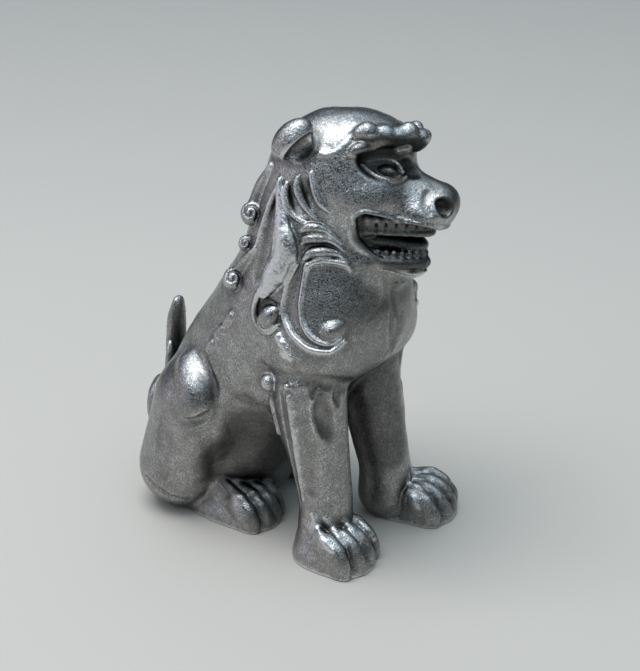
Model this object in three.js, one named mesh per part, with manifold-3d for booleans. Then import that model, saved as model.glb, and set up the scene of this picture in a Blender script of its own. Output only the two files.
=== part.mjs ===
// Komainu: a seated guardian lion-dog with an open mouth, cast in metal in sections.
// The sections are set on dowels and soldered, and each one is its own mesh.
// Millimetres, +Z up. The figure faces -Y, and its own right side is at -X.
import * as THREE from "three";
import { mergeVertices } from "three/addons/utils/BufferGeometryUtils.js";
import Module from "manifold-3d";

const wasm = await Module();
wasm.setup();

// Joints between the castings
const SOLDER_GAP = 0.3; // between the faces of two castings
const PIN_CLEARANCE = 0.25; // round a dowel, and past each of its ends
const LEG_PIN_RADIUS = 2;
const LEG_PIN_LENGTH = 16;
const HIP_PIN_RADIUS = 1.5;
const HIP_PIN_LENGTH = 9;
const NECK_PIN_RADIUS = 2.2;
const NECK_PIN_LENGTH = 16;
const JAW_PIN_RADIUS = 1;
const JAW_PIN_LENGTH = 8;
const EAR_PIN_RADIUS = 0.8;
const EAR_PIN_LENGTH = 5;
const TAIL_PIN_RADIUS = 1;
const TAIL_PIN_LENGTH = 8;

// Trunk: stations from the rump to the neck, each set back from the line between the shoulders
const RUMP_BACK = 25;
const RUMP_HEIGHT = 13;
const RUMP_RADIUS = 15.5;
const LOIN_BACK = 20.5;
const LOIN_HEIGHT = 28;
const LOIN_RADIUS = 17;
const RIB_BACK = 9.5;
const RIB_HEIGHT = 43;
const RIB_RADIUS = 18;
const WITHERS_BACK = 2.5;
const WITHERS_HEIGHT = 57;
const WITHERS_RADIUS = 16.6;
const NECK_BACK = 1;
const NECK_HEIGHT = 69;
const NECK_RADIUS = 14.4;
const NECK_TOP_HEIGHT = 79;
const NECK_TOP_RADIUS = 11;
const CHEST_FORWARD = 6;
const CHEST_HEIGHT = 53;
const CHEST_WIDTH = 31;
const CHEST_DEPTH = 25;
const CHEST_TALL = 29;
const SHOULDER_HALF_SPAN = 9.5;
const SHOULDER_FORWARD = 5;
const SHOULDER_HEIGHT = 47;
const SHOULDER_WIDTH = 18;
const SHOULDER_DEPTH = 20;
const SHOULDER_TALL = 19;

// Waist: the hollow in each flank, under the ribs
const WAIST_HALF_SPAN = 19.5;
const WAIST_BACK = 8;
const WAIST_HEIGHT = 19;
const WAIST_WIDTH = 16;
const WAIST_DEPTH = 18;
const WAIST_TALL = 28;

// Forelegs: half span, forward, height and radius from the shoulder down. The left one leans in.
const FORELEG_STATIONS = {
  right: [
    [11.3, 5, 42, 7.6],
    [11.3, 5.3, 33, 7.4],
    [10.8, 7.5, 20, 6.1],
    [10.6, 8.5, 12, 5.7],
    [10.6, 8.5, 5, 5.9],
  ],
  left: [
    [10, 4.2, 42, 7.6],
    [9.9, 4.3, 33, 7.2],
    [10.1, 6.8, 20, 6.1],
    [10.4, 8.4, 12, 5.7],
    [10.6, 8.5, 5, 5.9],
  ],
};
const FORELEG_PIN_HALF_SPAN = 10.6;
const LEG_FIN_STATIONS = [
  [15.4, -1.6, 39.6, 2.8],
  [12.6, -1.4, 30, 2],
  [11.2, 0.6, 20, 1.3],
  [10.8, 2.9, 11, 0.8],
];

// Hind legs: half span, forward, height and radius
const HAUNCH_STATIONS = [
  [12, -28.2, 10, 10.8],
  [12.8, -26.6, 20, 9.6],
  [13.2, -25, 27, 8.4],
];
const SHIN_STATIONS = [
  [14, -24, 30, 5],
  [13.2, -25.5, 18, 6.4],
  [12.2, -25, 9, 6],
];
const KNEE_STATIONS = [
  [17, -21.2, 33.1, 4.6],
  [17.5, -20.3, 31.6, 5],
  [17.9, -20, 30.4, 4.6],
];
const SHIN_RIDGE_STATIONS = [
  [19.2, -20.5, 25.2, 3],
  [18.4, -21.4, 19.4, 3.4],
  [17.4, -21.6, 12.5, 3],
];
const HAUNCH_BULGE_HALF_SPAN = 11.8;
const HAUNCH_BULGE_BACK = 22.6;
const HAUNCH_BULGE_HEIGHT = 27.6;
const HAUNCH_BULGE_WIDTH = 19.2;
const HAUNCH_BULGE_TALL = 20;
const HIP_BACK = 25.5;
const HIP_HEIGHT = 20;

// Paws: the heel's half span and forward place, and the share of the length at which the toes start
const FORE_PAW = { heel: [12.6, 2.9], length: 18.6, width: 13.5, height: 9.4, splay: 9, toeStart: 0.4 };
const HIND_PAWS = {
  right: { heel: [11, -28], length: 22.5, width: 12, height: 8.2, splay: 8, toeStart: 0.58 },
  left: { heel: [11, -29], length: 20.5, width: 12, height: 8.2, splay: 8, toeStart: 0.58 },
};
const PAWS_TURN = 11; // degrees that all the paws are turned to its left
const SOLE_RISE = 0.84; // heights of the sole and of the pad under the toes, as shares of the paw's height
const PAD_RISE = 0.6;
const SOLE_START = 0.48; // middles of their round ends: from the heel, and short of the tip, as shares of the width
const SOLE_END = 0.7;
const PAD_END = 0.52;
const PAD_START = 0.45; // from the heel, as a share of the length

// Toes: heights as shares of the paw's height, radii and the fan as shares of the room that each toe has
const TOE_COUNT = 4;
const TOE_STRETCH = 2.17; // how much taller than wide a toe is
const TOE_ROOT_RISE = 0.42;
const TOE_ROOT_RADIUS = 0.5;
const KNUCKLE_RISE = 0.46;
const KNUCKLE_RADIUS = 0.64;
const TOE_TIP_RISE = 0.14;
const TOE_TIP_RADIUS = 0.58;
const KNUCKLE_PLACE = 0.44; // between the toe's start and the paw's tip
const TOE_FAN = 0.36; // how far back an outer toe is set, for its distance from the middle
const TOE_ROOT_CLOSING = 0.8; // how near to the middle line the toes start

// Head, in its own frame with its origin in the skull
const HEAD_FORWARD = 2;
const HEAD_RISE = 1; // of its origin over the top of the neck
const HEAD_TURN = 25; // degrees to its left
const HEAD_TILT = 15; // degrees, with its left side down
const SKULL_WIDTH = 23;
const SKULL_LENGTH = 27;
const SKULL_TALL = 24.4;
const SKULL_FORWARD = 1.5;
const SKULL_RISE = 2.6;
const FOREHEAD_WIDTH = 21.6;
const FOREHEAD_LENGTH = 18.4;
const FOREHEAD_TALL = 15.6;
const FOREHEAD_FORWARD = 7.2;
const FOREHEAD_RISE = 6.2;
const MUZZLE_ROOT = 6;
const MUZZLE_REACH = 21;
const MUZZLE_ROOT_DROP = 2.9;
const MUZZLE_DROP = 3.3;
const MUZZLE_ROOT_RADIUS = 9.3;
const MUZZLE_BRIDGE = 16;
const MUZZLE_BRIDGE_RADIUS = 6.6;
const MUZZLE_TIP_RADIUS = 5.2;
const NOSE_WIDTH = 8.4;
const NOSE_TALL = 6.8;
const NOSE_DEPTH = 6.6;
const NOSE_FORWARD = 22.8;
const NOSE_DROP = 2.5;
const NOSTRIL_DIAMETER = 2.8;
const NOSTRIL_HALF_SPAN = 2.4;
const BROW_STATIONS = [
  [2.9, 16.9, 7.2, 2],
  [5, 16.8, 9.9, 2.5],
  [7.5, 14.7, 10.4, 2.5],
  [9.2, 11.1, 10.6, 2.2],
  [9.9, 7, 10.8, 1.5],
];
const SOCKET_HALF_SPAN = 9.7;
const SOCKET_FORWARD = 13;
const SOCKET_RISE = 4.8;
const SOCKET_WIDTH = 6.6;
const SOCKET_LENGTH = 11.2;
const SOCKET_TALL = 6.4;
const EYE_LENGTH = 6.4;
const EYE_TALL = 4.4;
const EYE_HALF_SPAN = 6.4;
const EYE_FORWARD = 12.6;
const EYE_RISE = 3;
const CHEEK_HALF_SPAN = 7.2;
const CHEEK_FORWARD = 6.5;
const CHEEK_DROP = 2.4;
const CHEEK_WIDTH = 8.4;
const CHEEK_LENGTH = 14.8;
const CHEEK_TALL = 10.8;
const LIP_HALF_SPAN = 3.4;
const LIP_FORWARD = 19;
const LIP_DROP = 5.2;
const LIP_WIDTH = 7.2;
const LIP_LENGTH = 9.2;
const LIP_TALL = 6.4;
const NOSE_WING_HALF_SPAN = 2.4;
const NOSE_WING_FORWARD = 22.2;
const NOSE_WING_DROP = 3.8;
const NOSE_WING_WIDTH = 5.4;
const NOSE_WING_LENGTH = 6.2;
const EAR_LENGTH = 10.5;
const EAR_WIDTH = 7;
const EAR_THICKNESS = 6;
const EAR_BACK = 5.6;
const EAR_DROP = 6.2; // below the top of the skull
const EAR_STANDOFF = 3.8; // from the skull's side to the middle of the ear
const EAR_ROOT_RADIUS = 2.6;
const EAR_RAKE = 58; // degrees its long axis stands up from level

// Mouth and lower jaw, in the head's frame
const MOUTH_ROOT = 7;
const MOUTH_REACH = 17;
const MOUTH_DROP = 10.4;
const MOUTH_RADIUS = 5.2;
const MOUTH_TIP_RADIUS = 3.6;
const JAW_ROOT = 3;
const JAW_ROOT_DROP = 13;
const JAW_ROOT_RADIUS = 7.5;
const JAW_MIDDLE = 9.4;
const JAW_MIDDLE_RADIUS = 6.7;
const JAW_REACH = 17;
const JAW_DROP = 14.6;
const JAW_TIP_RADIUS = 4.3;
const TONGUE_RADIUS = 2.4;
const TONGUE_ROOT = 6;
const TONGUE_REACH = 14;
const TONGUE_DROP = 13.4;
const TOOTH_RADIUS = 0.85;
const TOOTH_LENGTH = 3;
const TOOTH_COUNT = 7; // in each row
const UPPER_TEETH_HALF_WIDTH = 4.4;
const UPPER_TEETH_REACH = 20.6;
const UPPER_TEETH_DROP = 9.4;
const LOWER_TEETH_HALF_WIDTH = 3.6;
const LOWER_TEETH_REACH = 19.2;
const LOWER_TEETH_DROP = 11.8;
const TOOTH_ROW_ANGLE = 70; // degrees each way from the front tooth

// Locks and curls lying on the neck and the chest, each a bearing in degrees and a share of the neck
const LOCK_PATH = [
  [98, 1.14],
  [91, 0.98],
  [85, 0.77],
  [82, 0.57],
  [84, 0.42],
  [89, 0.2],
];
const LOCK_RADIUS = 2.7;
const LOCK_ROOT_RADIUS = 1.6;
const LOCK_TIP_RADIUS = 1.4;
const LOCK_HOOK_RADIUS = 2.6;
const LOCK_HOOK_PLACE = [93, -0.11];
const LOCK_HOOK_START = 130; // degrees round the hook, where the lock runs into it
const LOCK_HOOK_END = 400;
const LOCK_HOOK_STEP = 45;
const SCROLL_PATH = [
  [66, 0.43],
  [72.5, 0.25],
  [74, 0],
  [69, -0.16],
  [58, -0.26],
  [48, -0.27],
  [42, -0.2],
  [44, -0.12],
];
const SCROLL_RADIUS = 2.1;
const CRESCENT_SHARES = [0.73, 0.62, 0.5];
const CRESCENT_PATH = [
  [69, 0],
  [60, 0.06],
  [48, 0.05],
  [37, -0.03],
];
const TUFT_ROOT_PATH = [
  [57, 0.8],
  [55, 0.52],
];
const TUFT_RADIUS = 1;
const NAPE_CURL_PLACES = [
  [132, 0.69],
  [133, 0.43],
  [128, 0.07],
];
const NAPE_CURL_RADII = [2.2, 1.5, 2.1];
const NAPE_CURL_ROOT_RADIUS = 1;
const NAPE_CURL_LENGTHS = [5.5, 4.5, 7];
const NAPE_CURL_LEANS = [5, 0, 13]; // degrees that the root lies nearer to the front

// Tail: an upright plume between two curls
const TAIL_HEIGHT = 15;
const PLUME_ROOT_HEIGHT = 12;
const PLUME_MIDDLE_HEIGHT = 24.5;
const PLUME_TIP_HEIGHT = 42;
const PLUME_LEAN = 2; // how far its middle stands back from the rump
const PLUME_RADIUS = 3.2;
const PLUME_TIP_RADIUS = 1.1;
const TAIL_CURL_ROOT_RADIUS = 2;
const TAIL_CURL_RADIUS = 3.2;
const TAIL_CURL_HALF_SPAN = 7.4;
const TAIL_CURL_ROOT_HEIGHT = 12;
const TAIL_CURL_HEIGHT = 15.5;
const TAIL_CURL_TOP_HEIGHT = 21;

// Facets
const SIDES = 14; // round a limb or a ball
const TOE_SIDES = 8;
const FINE_SIDES = 6; // round a curl or a tooth
const PIN_SIDES = 12;
const STEPS = 3; // along a limb, between two stations
const FINE_STEPS = 2;
const CAP_RINGS = 2; // on a limb's round end

const CAST_METAL = { color: 0x9b9c9d, roughness: 0.34, metalness: 1 };
const PIN_STEEL = { color: 0xb9bbbd, roughness: 0.28, metalness: 1 };

const { degToRad, radToDeg, lerp, smoothstep } = THREE.MathUtils;
const point = (x, y, z) => new THREE.Vector3(x, y, z);
const SIDE_SIGNS = { right: -1, left: 1 };
const UP = point(0, 0, 1);
const LEFTWARDS = point(1, 0, 0);
const BACKWARDS = point(0, 1, 0);

// Turns a closed geometry into a solid that can be joined and cut.
function solid(geometry) {
  const bare = geometry.clone();
  bare.deleteAttribute("normal");
  bare.deleteAttribute("uv");
  const merged = mergeVertices(bare);
  const vertProperties = merged.attributes.position.array;
  const triVerts = new Uint32Array(merged.index.array);
  return new wasm.Manifold(new wasm.Mesh({ numProp: 3, vertProperties, triVerts }));
}

function geometryOf(shape) {
  const { vertProperties, triVerts } = shape.getMesh();
  const geometry = new THREE.BufferGeometry();
  geometry.setAttribute("position", new THREE.BufferAttribute(vertProperties, 3));
  geometry.setIndex(new THREE.BufferAttribute(triVerts, 1));
  geometry.computeVertexNormals();
  return geometry;
}

const joined = (shapes) => shapes.reduce((whole, shape) => whole.add(shape));
const cutBy = (shape, cutters) => cutters.reduce((left, cutter) => left.subtract(cutter), shape);

// A form is a function of how far its surface is grown, so that a neighbour can be cut clear of it.
const together = (...forms) => (grow) => joined(forms.map((form) => form(grow)));

// An ellipsoid, with its three diameters along X, Y and Z before it is turned.
const ball = (centre, width, depth, height, turn = new THREE.Euler()) => (grow) =>
  solid(
    new THREE.SphereGeometry(1, SIDES, SIDES / 2)
      .rotateX(Math.PI / 2)
      .scale(width / 2 + grow, depth / 2 + grow, height / 2 + grow)
      .applyQuaternion(new THREE.Quaternion().setFromEuler(turn))
      .translate(centre.x, centre.y, centre.z),
  );

// A round-ended limb on a smooth curve through stations, each a point and a radius.
const limb = (stations, around = SIDES, steps = STEPS) => (grow) => {
  const spans = stations.length - 1;
  const curve = new THREE.CatmullRomCurve3(stations.map(([at]) => at), false, "centripetal");
  const rings = steps * spans;
  const frames = curve.computeFrenetFrames(rings, false);
  const radiusAt = (ring) => {
    const span = Math.min(Math.floor(ring / steps), spans - 1);
    const share = smoothstep(ring / steps - span, 0, 1);
    return lerp(stations[span][1], stations[span + 1][1], share) + grow;
  };
  const vertices = [];
  const addPoint = (ring, shift, radius, angle) =>
    vertices.push(
      curve
        .getPoint(ring / rings)
        .addScaledVector(frames.tangents[ring], shift)
        .addScaledVector(frames.normals[ring], radius * Math.cos(angle))
        .addScaledVector(frames.binormals[ring], radius * Math.sin(angle)),
    );
  const addRing = (ring, shift, radius) => {
    for (let s = 0; s < around; s++) addPoint(ring, shift, radius, (s / around) * 2 * Math.PI);
  };
  const addCapRing = (ring, radius, end, c) => {
    const angle = (c / (CAP_RINGS + 1)) * (Math.PI / 2);
    addRing(ring, end * radius * Math.cos(angle), radius * Math.sin(angle));
  };
  addPoint(0, -radiusAt(0), 0, 0);
  for (let c = 1; c <= CAP_RINGS; c++) addCapRing(0, radiusAt(0), -1, c);
  for (let ring = 0; ring <= rings; ring++) addRing(ring, 0, radiusAt(ring));
  for (let c = CAP_RINGS; c >= 1; c--) addCapRing(rings, radiusAt(rings), 1, c);
  addPoint(rings, radiusAt(rings), 0, 0);
  const tip = vertices.length - 1;
  const bands = (tip - 1) / around - 1;
  const index = [];
  for (let s = 0; s < around; s++) {
    const next = (s + 1) % around;
    index.push(0, 1 + next, 1 + s);
    for (let band = 0; band < bands; band++) {
      const near = 1 + band * around;
      const far = near + around;
      index.push(near + s, near + next, far + s, near + next, far + next, far + s);
    }
    index.push(tip, tip - around + s, tip - around + next);
  }
  return solid(new THREE.BufferGeometry().setFromPoints(vertices).setIndex(index));
};

// A dowel along a direction, which its hole follows with a clearance.
const pin = (centre, direction, radius, length) => (grow) =>
  solid(
    new THREE.CylinderGeometry(radius + grow, radius + grow, length + 2 * grow, PIN_SIDES)
      .applyQuaternion(new THREE.Quaternion().setFromUnitVectors(BACKWARDS, direction))
      .translate(centre.x, centre.y, centre.z),
  );

// The stations of a limb on one side of the figure
const sided = (side, rows) =>
  rows.map(([halfSpan, forward, height, radius]) => [point(side * halfSpan, -forward, height), radius]);

// Trunk
const shoulderForm = (side) =>
  ball(
    point(side * SHOULDER_HALF_SPAN, -SHOULDER_FORWARD, SHOULDER_HEIGHT),
    SHOULDER_WIDTH,
    SHOULDER_DEPTH,
    SHOULDER_TALL,
  );
const waistForm = (side) =>
  ball(point(side * WAIST_HALF_SPAN, WAIST_BACK, WAIST_HEIGHT), WAIST_WIDTH, WAIST_DEPTH, WAIST_TALL);
const fullTrunkForm = together(
  limb([
    [point(0, RUMP_BACK, RUMP_HEIGHT), RUMP_RADIUS],
    [point(0, LOIN_BACK, LOIN_HEIGHT), LOIN_RADIUS],
    [point(0, RIB_BACK, RIB_HEIGHT), RIB_RADIUS],
    [point(0, WITHERS_BACK, WITHERS_HEIGHT), WITHERS_RADIUS],
    [point(0, NECK_BACK, NECK_HEIGHT), NECK_RADIUS],
    [point(0, NECK_BACK, NECK_TOP_HEIGHT), NECK_TOP_RADIUS],
  ]),
  ball(point(0, -CHEST_FORWARD, CHEST_HEIGHT), CHEST_WIDTH, CHEST_DEPTH, CHEST_TALL),
  shoulderForm(SIDE_SIGNS.right),
  shoulderForm(SIDE_SIGNS.left),
);
const trunkForm = (grow) =>
  cutBy(fullTrunkForm(grow), [waistForm(SIDE_SIGNS.right)(-grow), waistForm(SIDE_SIGNS.left)(-grow)]);
const bareTrunk = new THREE.Mesh(
  geometryOf(trunkForm(0)),
  new THREE.MeshBasicMaterial({ side: THREE.DoubleSide }),
);

// Where a line from inside the trunk comes out for the last time.
function trunkSurface(from, direction) {
  const hits = new THREE.Raycaster(from, direction).intersectObject(bareTrunk);
  return hits[hits.length - 1].point;
}

// A point on the trunk, at a bearing in degrees from straight ahead and a share of the way up the neck.
function onNeck(side, [bearing, share]) {
  const height = lerp(WITHERS_HEIGHT, NECK_TOP_HEIGHT, share);
  const angle = degToRad(bearing);
  return trunkSurface(point(0, NECK_BACK, height), point(side * Math.sin(angle), -Math.cos(angle), 0));
}

// A paw with round toes side by side, along its splayed direction from its heel.
function pawForm(side, { heel, length, width, height, splay, toeStart }) {
  const angle = degToRad(side * splay + PAWS_TURN);
  const forward = point(Math.sin(angle), -Math.cos(angle), 0);
  const across = point(forward.y, -forward.x, 0);
  const [heelHalfSpan, heelForward] = heel;
  const at = (along, over, up) =>
    point(side * heelHalfSpan, -heelForward, up).addScaledVector(forward, along).addScaledVector(across, over);
  const radius = width / 2;
  const low = (from, to, rise) => (grow) =>
    limb([
      [at(from, 0, 0), radius],
      [at(to, 0, 0), radius],
    ])(grow).scale([1, 1, (rise * height) / radius]);
  const toeRoom = width / TOE_COUNT;
  const toeForm = (n) => {
    const over = (n - (TOE_COUNT - 1) / 2) * toeRoom;
    const set = Math.abs(over) * TOE_FAN;
    const root = length * toeStart;
    const stations = [
      [at(root - set / 2, over * TOE_ROOT_CLOSING, height * TOE_ROOT_RISE), toeRoom * TOE_ROOT_RADIUS],
      [at(lerp(root, length, KNUCKLE_PLACE) - set, over, height * KNUCKLE_RISE), toeRoom * KNUCKLE_RADIUS],
      [at(length - toeRoom * TOE_TIP_RADIUS - set, over, height * TOE_TIP_RISE), toeRoom * TOE_TIP_RADIUS],
    ];
    const squat = stations.map(([place, size]) => [place.setZ(place.z / TOE_STRETCH), size]);
    return (grow) => limb(squat, TOE_SIDES, FINE_STEPS)(grow).scale([1, 1, TOE_STRETCH]);
  };
  return together(
    low(width * SOLE_START, length - width * SOLE_END, SOLE_RISE),
    low(length * PAD_START, length - width * PAD_END, PAD_RISE),
    ...Array.from({ length: TOE_COUNT }, (_, n) => toeForm(n)),
  );
}

const forelegForm = (word, side) =>
  together(
    limb(sided(side, FORELEG_STATIONS[word])),
    limb(sided(side, LEG_FIN_STATIONS)),
    pawForm(side, FORE_PAW),
  );

const hindlegForm = (word, side) =>
  together(
    limb(sided(side, HAUNCH_STATIONS)),
    limb(sided(side, SHIN_STATIONS)),
    limb(sided(side, KNEE_STATIONS)),
    limb(sided(side, SHIN_RIDGE_STATIONS)),
    ball(
      point(side * HAUNCH_BULGE_HALF_SPAN, HAUNCH_BULGE_BACK, HAUNCH_BULGE_HEIGHT),
      HAUNCH_BULGE_WIDTH,
      HAUNCH_BULGE_WIDTH,
      HAUNCH_BULGE_TALL,
    ),
    pawForm(side, HIND_PAWS[word]),
  );

// Head
const headFrame = new THREE.Group();
headFrame.position.set(0, -HEAD_FORWARD, NECK_TOP_HEIGHT + HEAD_RISE);
headFrame.rotation.set(0, degToRad(HEAD_TILT), degToRad(HEAD_TURN), "ZYX");
headFrame.updateMatrixWorld(true);
const fromHead = (shape) => shape.transform(headFrame.matrixWorld.elements);

const browForm = (side) => limb(sided(side, BROW_STATIONS));
const socketForm = (side) =>
  ball(point(side * SOCKET_HALF_SPAN, -SOCKET_FORWARD, SOCKET_RISE), SOCKET_WIDTH, SOCKET_LENGTH, SOCKET_TALL);
const cheekForm = (side) =>
  ball(point(side * CHEEK_HALF_SPAN, -CHEEK_FORWARD, -CHEEK_DROP), CHEEK_WIDTH, CHEEK_LENGTH, CHEEK_TALL);
const lipForm = (side) =>
  ball(point(side * LIP_HALF_SPAN, -LIP_FORWARD, -LIP_DROP), LIP_WIDTH, LIP_LENGTH, LIP_TALL);
const noseWingForm = (side) =>
  ball(
    point(side * NOSE_WING_HALF_SPAN, -NOSE_WING_FORWARD, -NOSE_WING_DROP),
    NOSE_WING_WIDTH,
    NOSE_WING_LENGTH,
    NOSE_WING_WIDTH,
  );
const eyeForm = (side) =>
  ball(point(side * EYE_HALF_SPAN, -EYE_FORWARD, EYE_RISE), EYE_TALL, EYE_LENGTH, EYE_TALL);
const nostrilForm = (side) =>
  ball(
    point(side * NOSTRIL_HALF_SPAN, -NOSE_FORWARD - NOSE_DEPTH / 2, -NOSE_DROP - NOSTRIL_DIAMETER / 2),
    NOSTRIL_DIAMETER,
    NOSTRIL_DIAMETER,
    NOSTRIL_DIAMETER,
  );
const bareHeadForm = together(
  ball(point(0, -SKULL_FORWARD, SKULL_RISE), SKULL_WIDTH, SKULL_LENGTH, SKULL_TALL),
  ball(point(0, -FOREHEAD_FORWARD, FOREHEAD_RISE), FOREHEAD_WIDTH, FOREHEAD_LENGTH, FOREHEAD_TALL),
  limb([
    [point(0, -MUZZLE_ROOT, -MUZZLE_ROOT_DROP), MUZZLE_ROOT_RADIUS],
    [point(0, -MUZZLE_BRIDGE, -MUZZLE_DROP), MUZZLE_BRIDGE_RADIUS],
    [point(0, -MUZZLE_REACH, -MUZZLE_DROP), MUZZLE_TIP_RADIUS],
  ]),
  ball(point(0, -NOSE_FORWARD, -NOSE_DROP), NOSE_WIDTH, NOSE_DEPTH, NOSE_TALL),
  cheekForm(SIDE_SIGNS.right),
  cheekForm(SIDE_SIGNS.left),
  lipForm(SIDE_SIGNS.right),
  lipForm(SIDE_SIGNS.left),
  noseWingForm(SIDE_SIGNS.right),
  noseWingForm(SIDE_SIGNS.left),
);
const socketedHeadForm = (grow) =>
  cutBy(bareHeadForm(grow), [socketForm(SIDE_SIGNS.right)(-grow), socketForm(SIDE_SIGNS.left)(-grow)]);
const upperHeadForm = together(
  socketedHeadForm,
  browForm(SIDE_SIGNS.right),
  browForm(SIDE_SIGNS.left),
  eyeForm(SIDE_SIGNS.right),
  eyeForm(SIDE_SIGNS.left),
);
const mouthForm = limb([
  [point(0, -MOUTH_ROOT, -MOUTH_DROP), MOUTH_RADIUS],
  [point(0, -MOUTH_REACH, -MOUTH_DROP), MOUTH_TIP_RADIUS],
]);
const jawForm = limb([
  [point(0, -JAW_ROOT, -JAW_ROOT_DROP), JAW_ROOT_RADIUS],
  [point(0, -JAW_MIDDLE, -JAW_DROP), JAW_MIDDLE_RADIUS],
  [point(0, -JAW_REACH, -JAW_DROP), JAW_TIP_RADIUS],
]);
const tongueForm = limb([
  [point(0, -TONGUE_ROOT, -TONGUE_DROP), TONGUE_RADIUS],
  [point(0, -TONGUE_REACH, -TONGUE_DROP), TONGUE_RADIUS],
]);
// The ear's height, and how far out the skull's side is there.
const earRise = SKULL_RISE + SKULL_TALL / 2 - EAR_DROP;
const earSeat =
  (SKULL_WIDTH / 2) *
  Math.sqrt(
    1 - ((EAR_BACK + SKULL_FORWARD) / (SKULL_LENGTH / 2)) ** 2 - ((earRise - SKULL_RISE) / (SKULL_TALL / 2)) ** 2,
  );
const earForm = (side) => {
  const centre = point(side * (earSeat + EAR_STANDOFF), EAR_BACK, earRise);
  const turn = new THREE.Euler(-degToRad(EAR_RAKE), 0, 0);
  return together(
    ball(centre, EAR_THICKNESS, EAR_LENGTH, EAR_WIDTH, turn),
    limb([
      [point((side * earSeat) / 2, EAR_BACK / 2, earRise / 2), EAR_ROOT_RADIUS],
      [centre, EAR_ROOT_RADIUS],
    ]),
  );
};

// A row of pointed teeth round the front of the mouth, pointing up or down from the middle of their length.
function teeth(reach, halfWidth, drop, pointing) {
  const tooth = (n) => {
    const angle = degToRad(lerp(-TOOTH_ROW_ANGLE, TOOTH_ROW_ANGLE, n / (TOOTH_COUNT - 1)));
    return solid(
      new THREE.ConeGeometry(TOOTH_RADIUS, TOOTH_LENGTH, FINE_SIDES)
        .rotateX((pointing * Math.PI) / 2)
        .translate(halfWidth * Math.sin(angle), -reach + halfWidth * (1 - Math.cos(angle)), -drop),
    );
  };
  return joined(Array.from({ length: TOOTH_COUNT }, (_, n) => tooth(n)));
}

// Locks and curls
function maneLockForm(side) {
  const [hookBearing, hookShare] = LOCK_HOOK_PLACE;
  const hook = [];
  for (let turn = LOCK_HOOK_START; turn <= LOCK_HOOK_END; turn += LOCK_HOOK_STEP) {
    const over = radToDeg(LOCK_HOOK_RADIUS / WITHERS_RADIUS) * Math.cos(degToRad(turn));
    const rise = (LOCK_HOOK_RADIUS / (NECK_TOP_HEIGHT - WITHERS_HEIGHT)) * Math.sin(degToRad(turn));
    hook.push([onNeck(side, [hookBearing - over, hookShare + rise]), LOCK_TIP_RADIUS]);
  }
  const lock = LOCK_PATH.map((place, n) => [onNeck(side, place), n === 0 ? LOCK_ROOT_RADIUS : LOCK_RADIUS]);
  return together(limb([...lock, hook[0]], FINE_SIDES), limb(hook, FINE_SIDES, FINE_STEPS));
}

const chestCurlForm = (side) =>
  limb(
    SCROLL_PATH.map((place) => [onNeck(side, place), SCROLL_RADIUS]),
    FINE_SIDES,
    FINE_STEPS,
  );

function cheekTuftForm(side) {
  const ridge = (path) => limb(path.map((place) => [onNeck(side, place), TUFT_RADIUS]), FINE_SIDES, FINE_STEPS);
  const crescents = CRESCENT_SHARES.map((base) =>
    ridge(CRESCENT_PATH.map(([bearing, share]) => [bearing, base + share])),
  );
  return together(ridge(TUFT_ROOT_PATH), ...crescents);
}

function napeCurlForm(side, n) {
  const [bearing, share] = NAPE_CURL_PLACES[n];
  const rise = NAPE_CURL_LENGTHS[n] / (NECK_TOP_HEIGHT - WITHERS_HEIGHT);
  const stations = [
    [onNeck(side, [bearing - NAPE_CURL_LEANS[n], share + rise]), NAPE_CURL_ROOT_RADIUS],
    [onNeck(side, [bearing, share]), NAPE_CURL_RADII[n]],
  ];
  return limb(stations, FINE_SIDES, FINE_STEPS);
}

// Tail
const rumpEnd = trunkSurface(point(0, RUMP_BACK, TAIL_HEIGHT), BACKWARDS);
const plumeForm = limb([
  [point(0, rumpEnd.y, PLUME_ROOT_HEIGHT), PLUME_RADIUS],
  [point(0, rumpEnd.y + PLUME_LEAN, PLUME_MIDDLE_HEIGHT), PLUME_RADIUS],
  [point(0, rumpEnd.y, PLUME_TIP_HEIGHT), PLUME_TIP_RADIUS],
]);
const tailCurlForm = (side) =>
  limb([
    [point((side * PLUME_RADIUS) / 2, rumpEnd.y, TAIL_CURL_ROOT_HEIGHT), TAIL_CURL_ROOT_RADIUS],
    [point(side * TAIL_CURL_HALF_SPAN, rumpEnd.y - TAIL_CURL_ROOT_RADIUS, TAIL_CURL_HEIGHT), TAIL_CURL_RADIUS],
    [point(side * TAIL_CURL_HALF_SPAN, rumpEnd.y - TAIL_CURL_ROOT_RADIUS, TAIL_CURL_TOP_HEIGHT), TAIL_CURL_RADIUS],
  ]);

// Dowels: the ear, neck and jaw ones are in the head's frame
const skullBase = SKULL_RISE - SKULL_TALL / 2;
const neckPin = pin(point(0, SKULL_LENGTH / 4, skullBase + NECK_PIN_RADIUS), UP, NECK_PIN_RADIUS, NECK_PIN_LENGTH);
const jawPin = pin(point(0, JAW_PIN_RADIUS, skullBase), UP, JAW_PIN_RADIUS, JAW_PIN_LENGTH);
const earPin = (side) =>
  pin(point(side * earSeat, EAR_BACK, earRise), LEFTWARDS, EAR_PIN_RADIUS, EAR_PIN_LENGTH);
const legPin = (side) => {
  const above = point(side * FORELEG_PIN_HALF_SPAN, -SHOULDER_FORWARD, CHEST_HEIGHT);
  return pin(trunkSurface(above, point(0, 0, -1)), UP, LEG_PIN_RADIUS, LEG_PIN_LENGTH);
};
const hipPin = (side) => {
  const inside = point(0, HIP_BACK, HIP_HEIGHT);
  return pin(trunkSurface(inside, point(side, 0, 0)), LEFTWARDS, HIP_PIN_RADIUS, HIP_PIN_LENGTH);
};
const tailPin = pin(rumpEnd, BACKWARDS, TAIL_PIN_RADIUS, TAIL_PIN_LENGTH);

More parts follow.
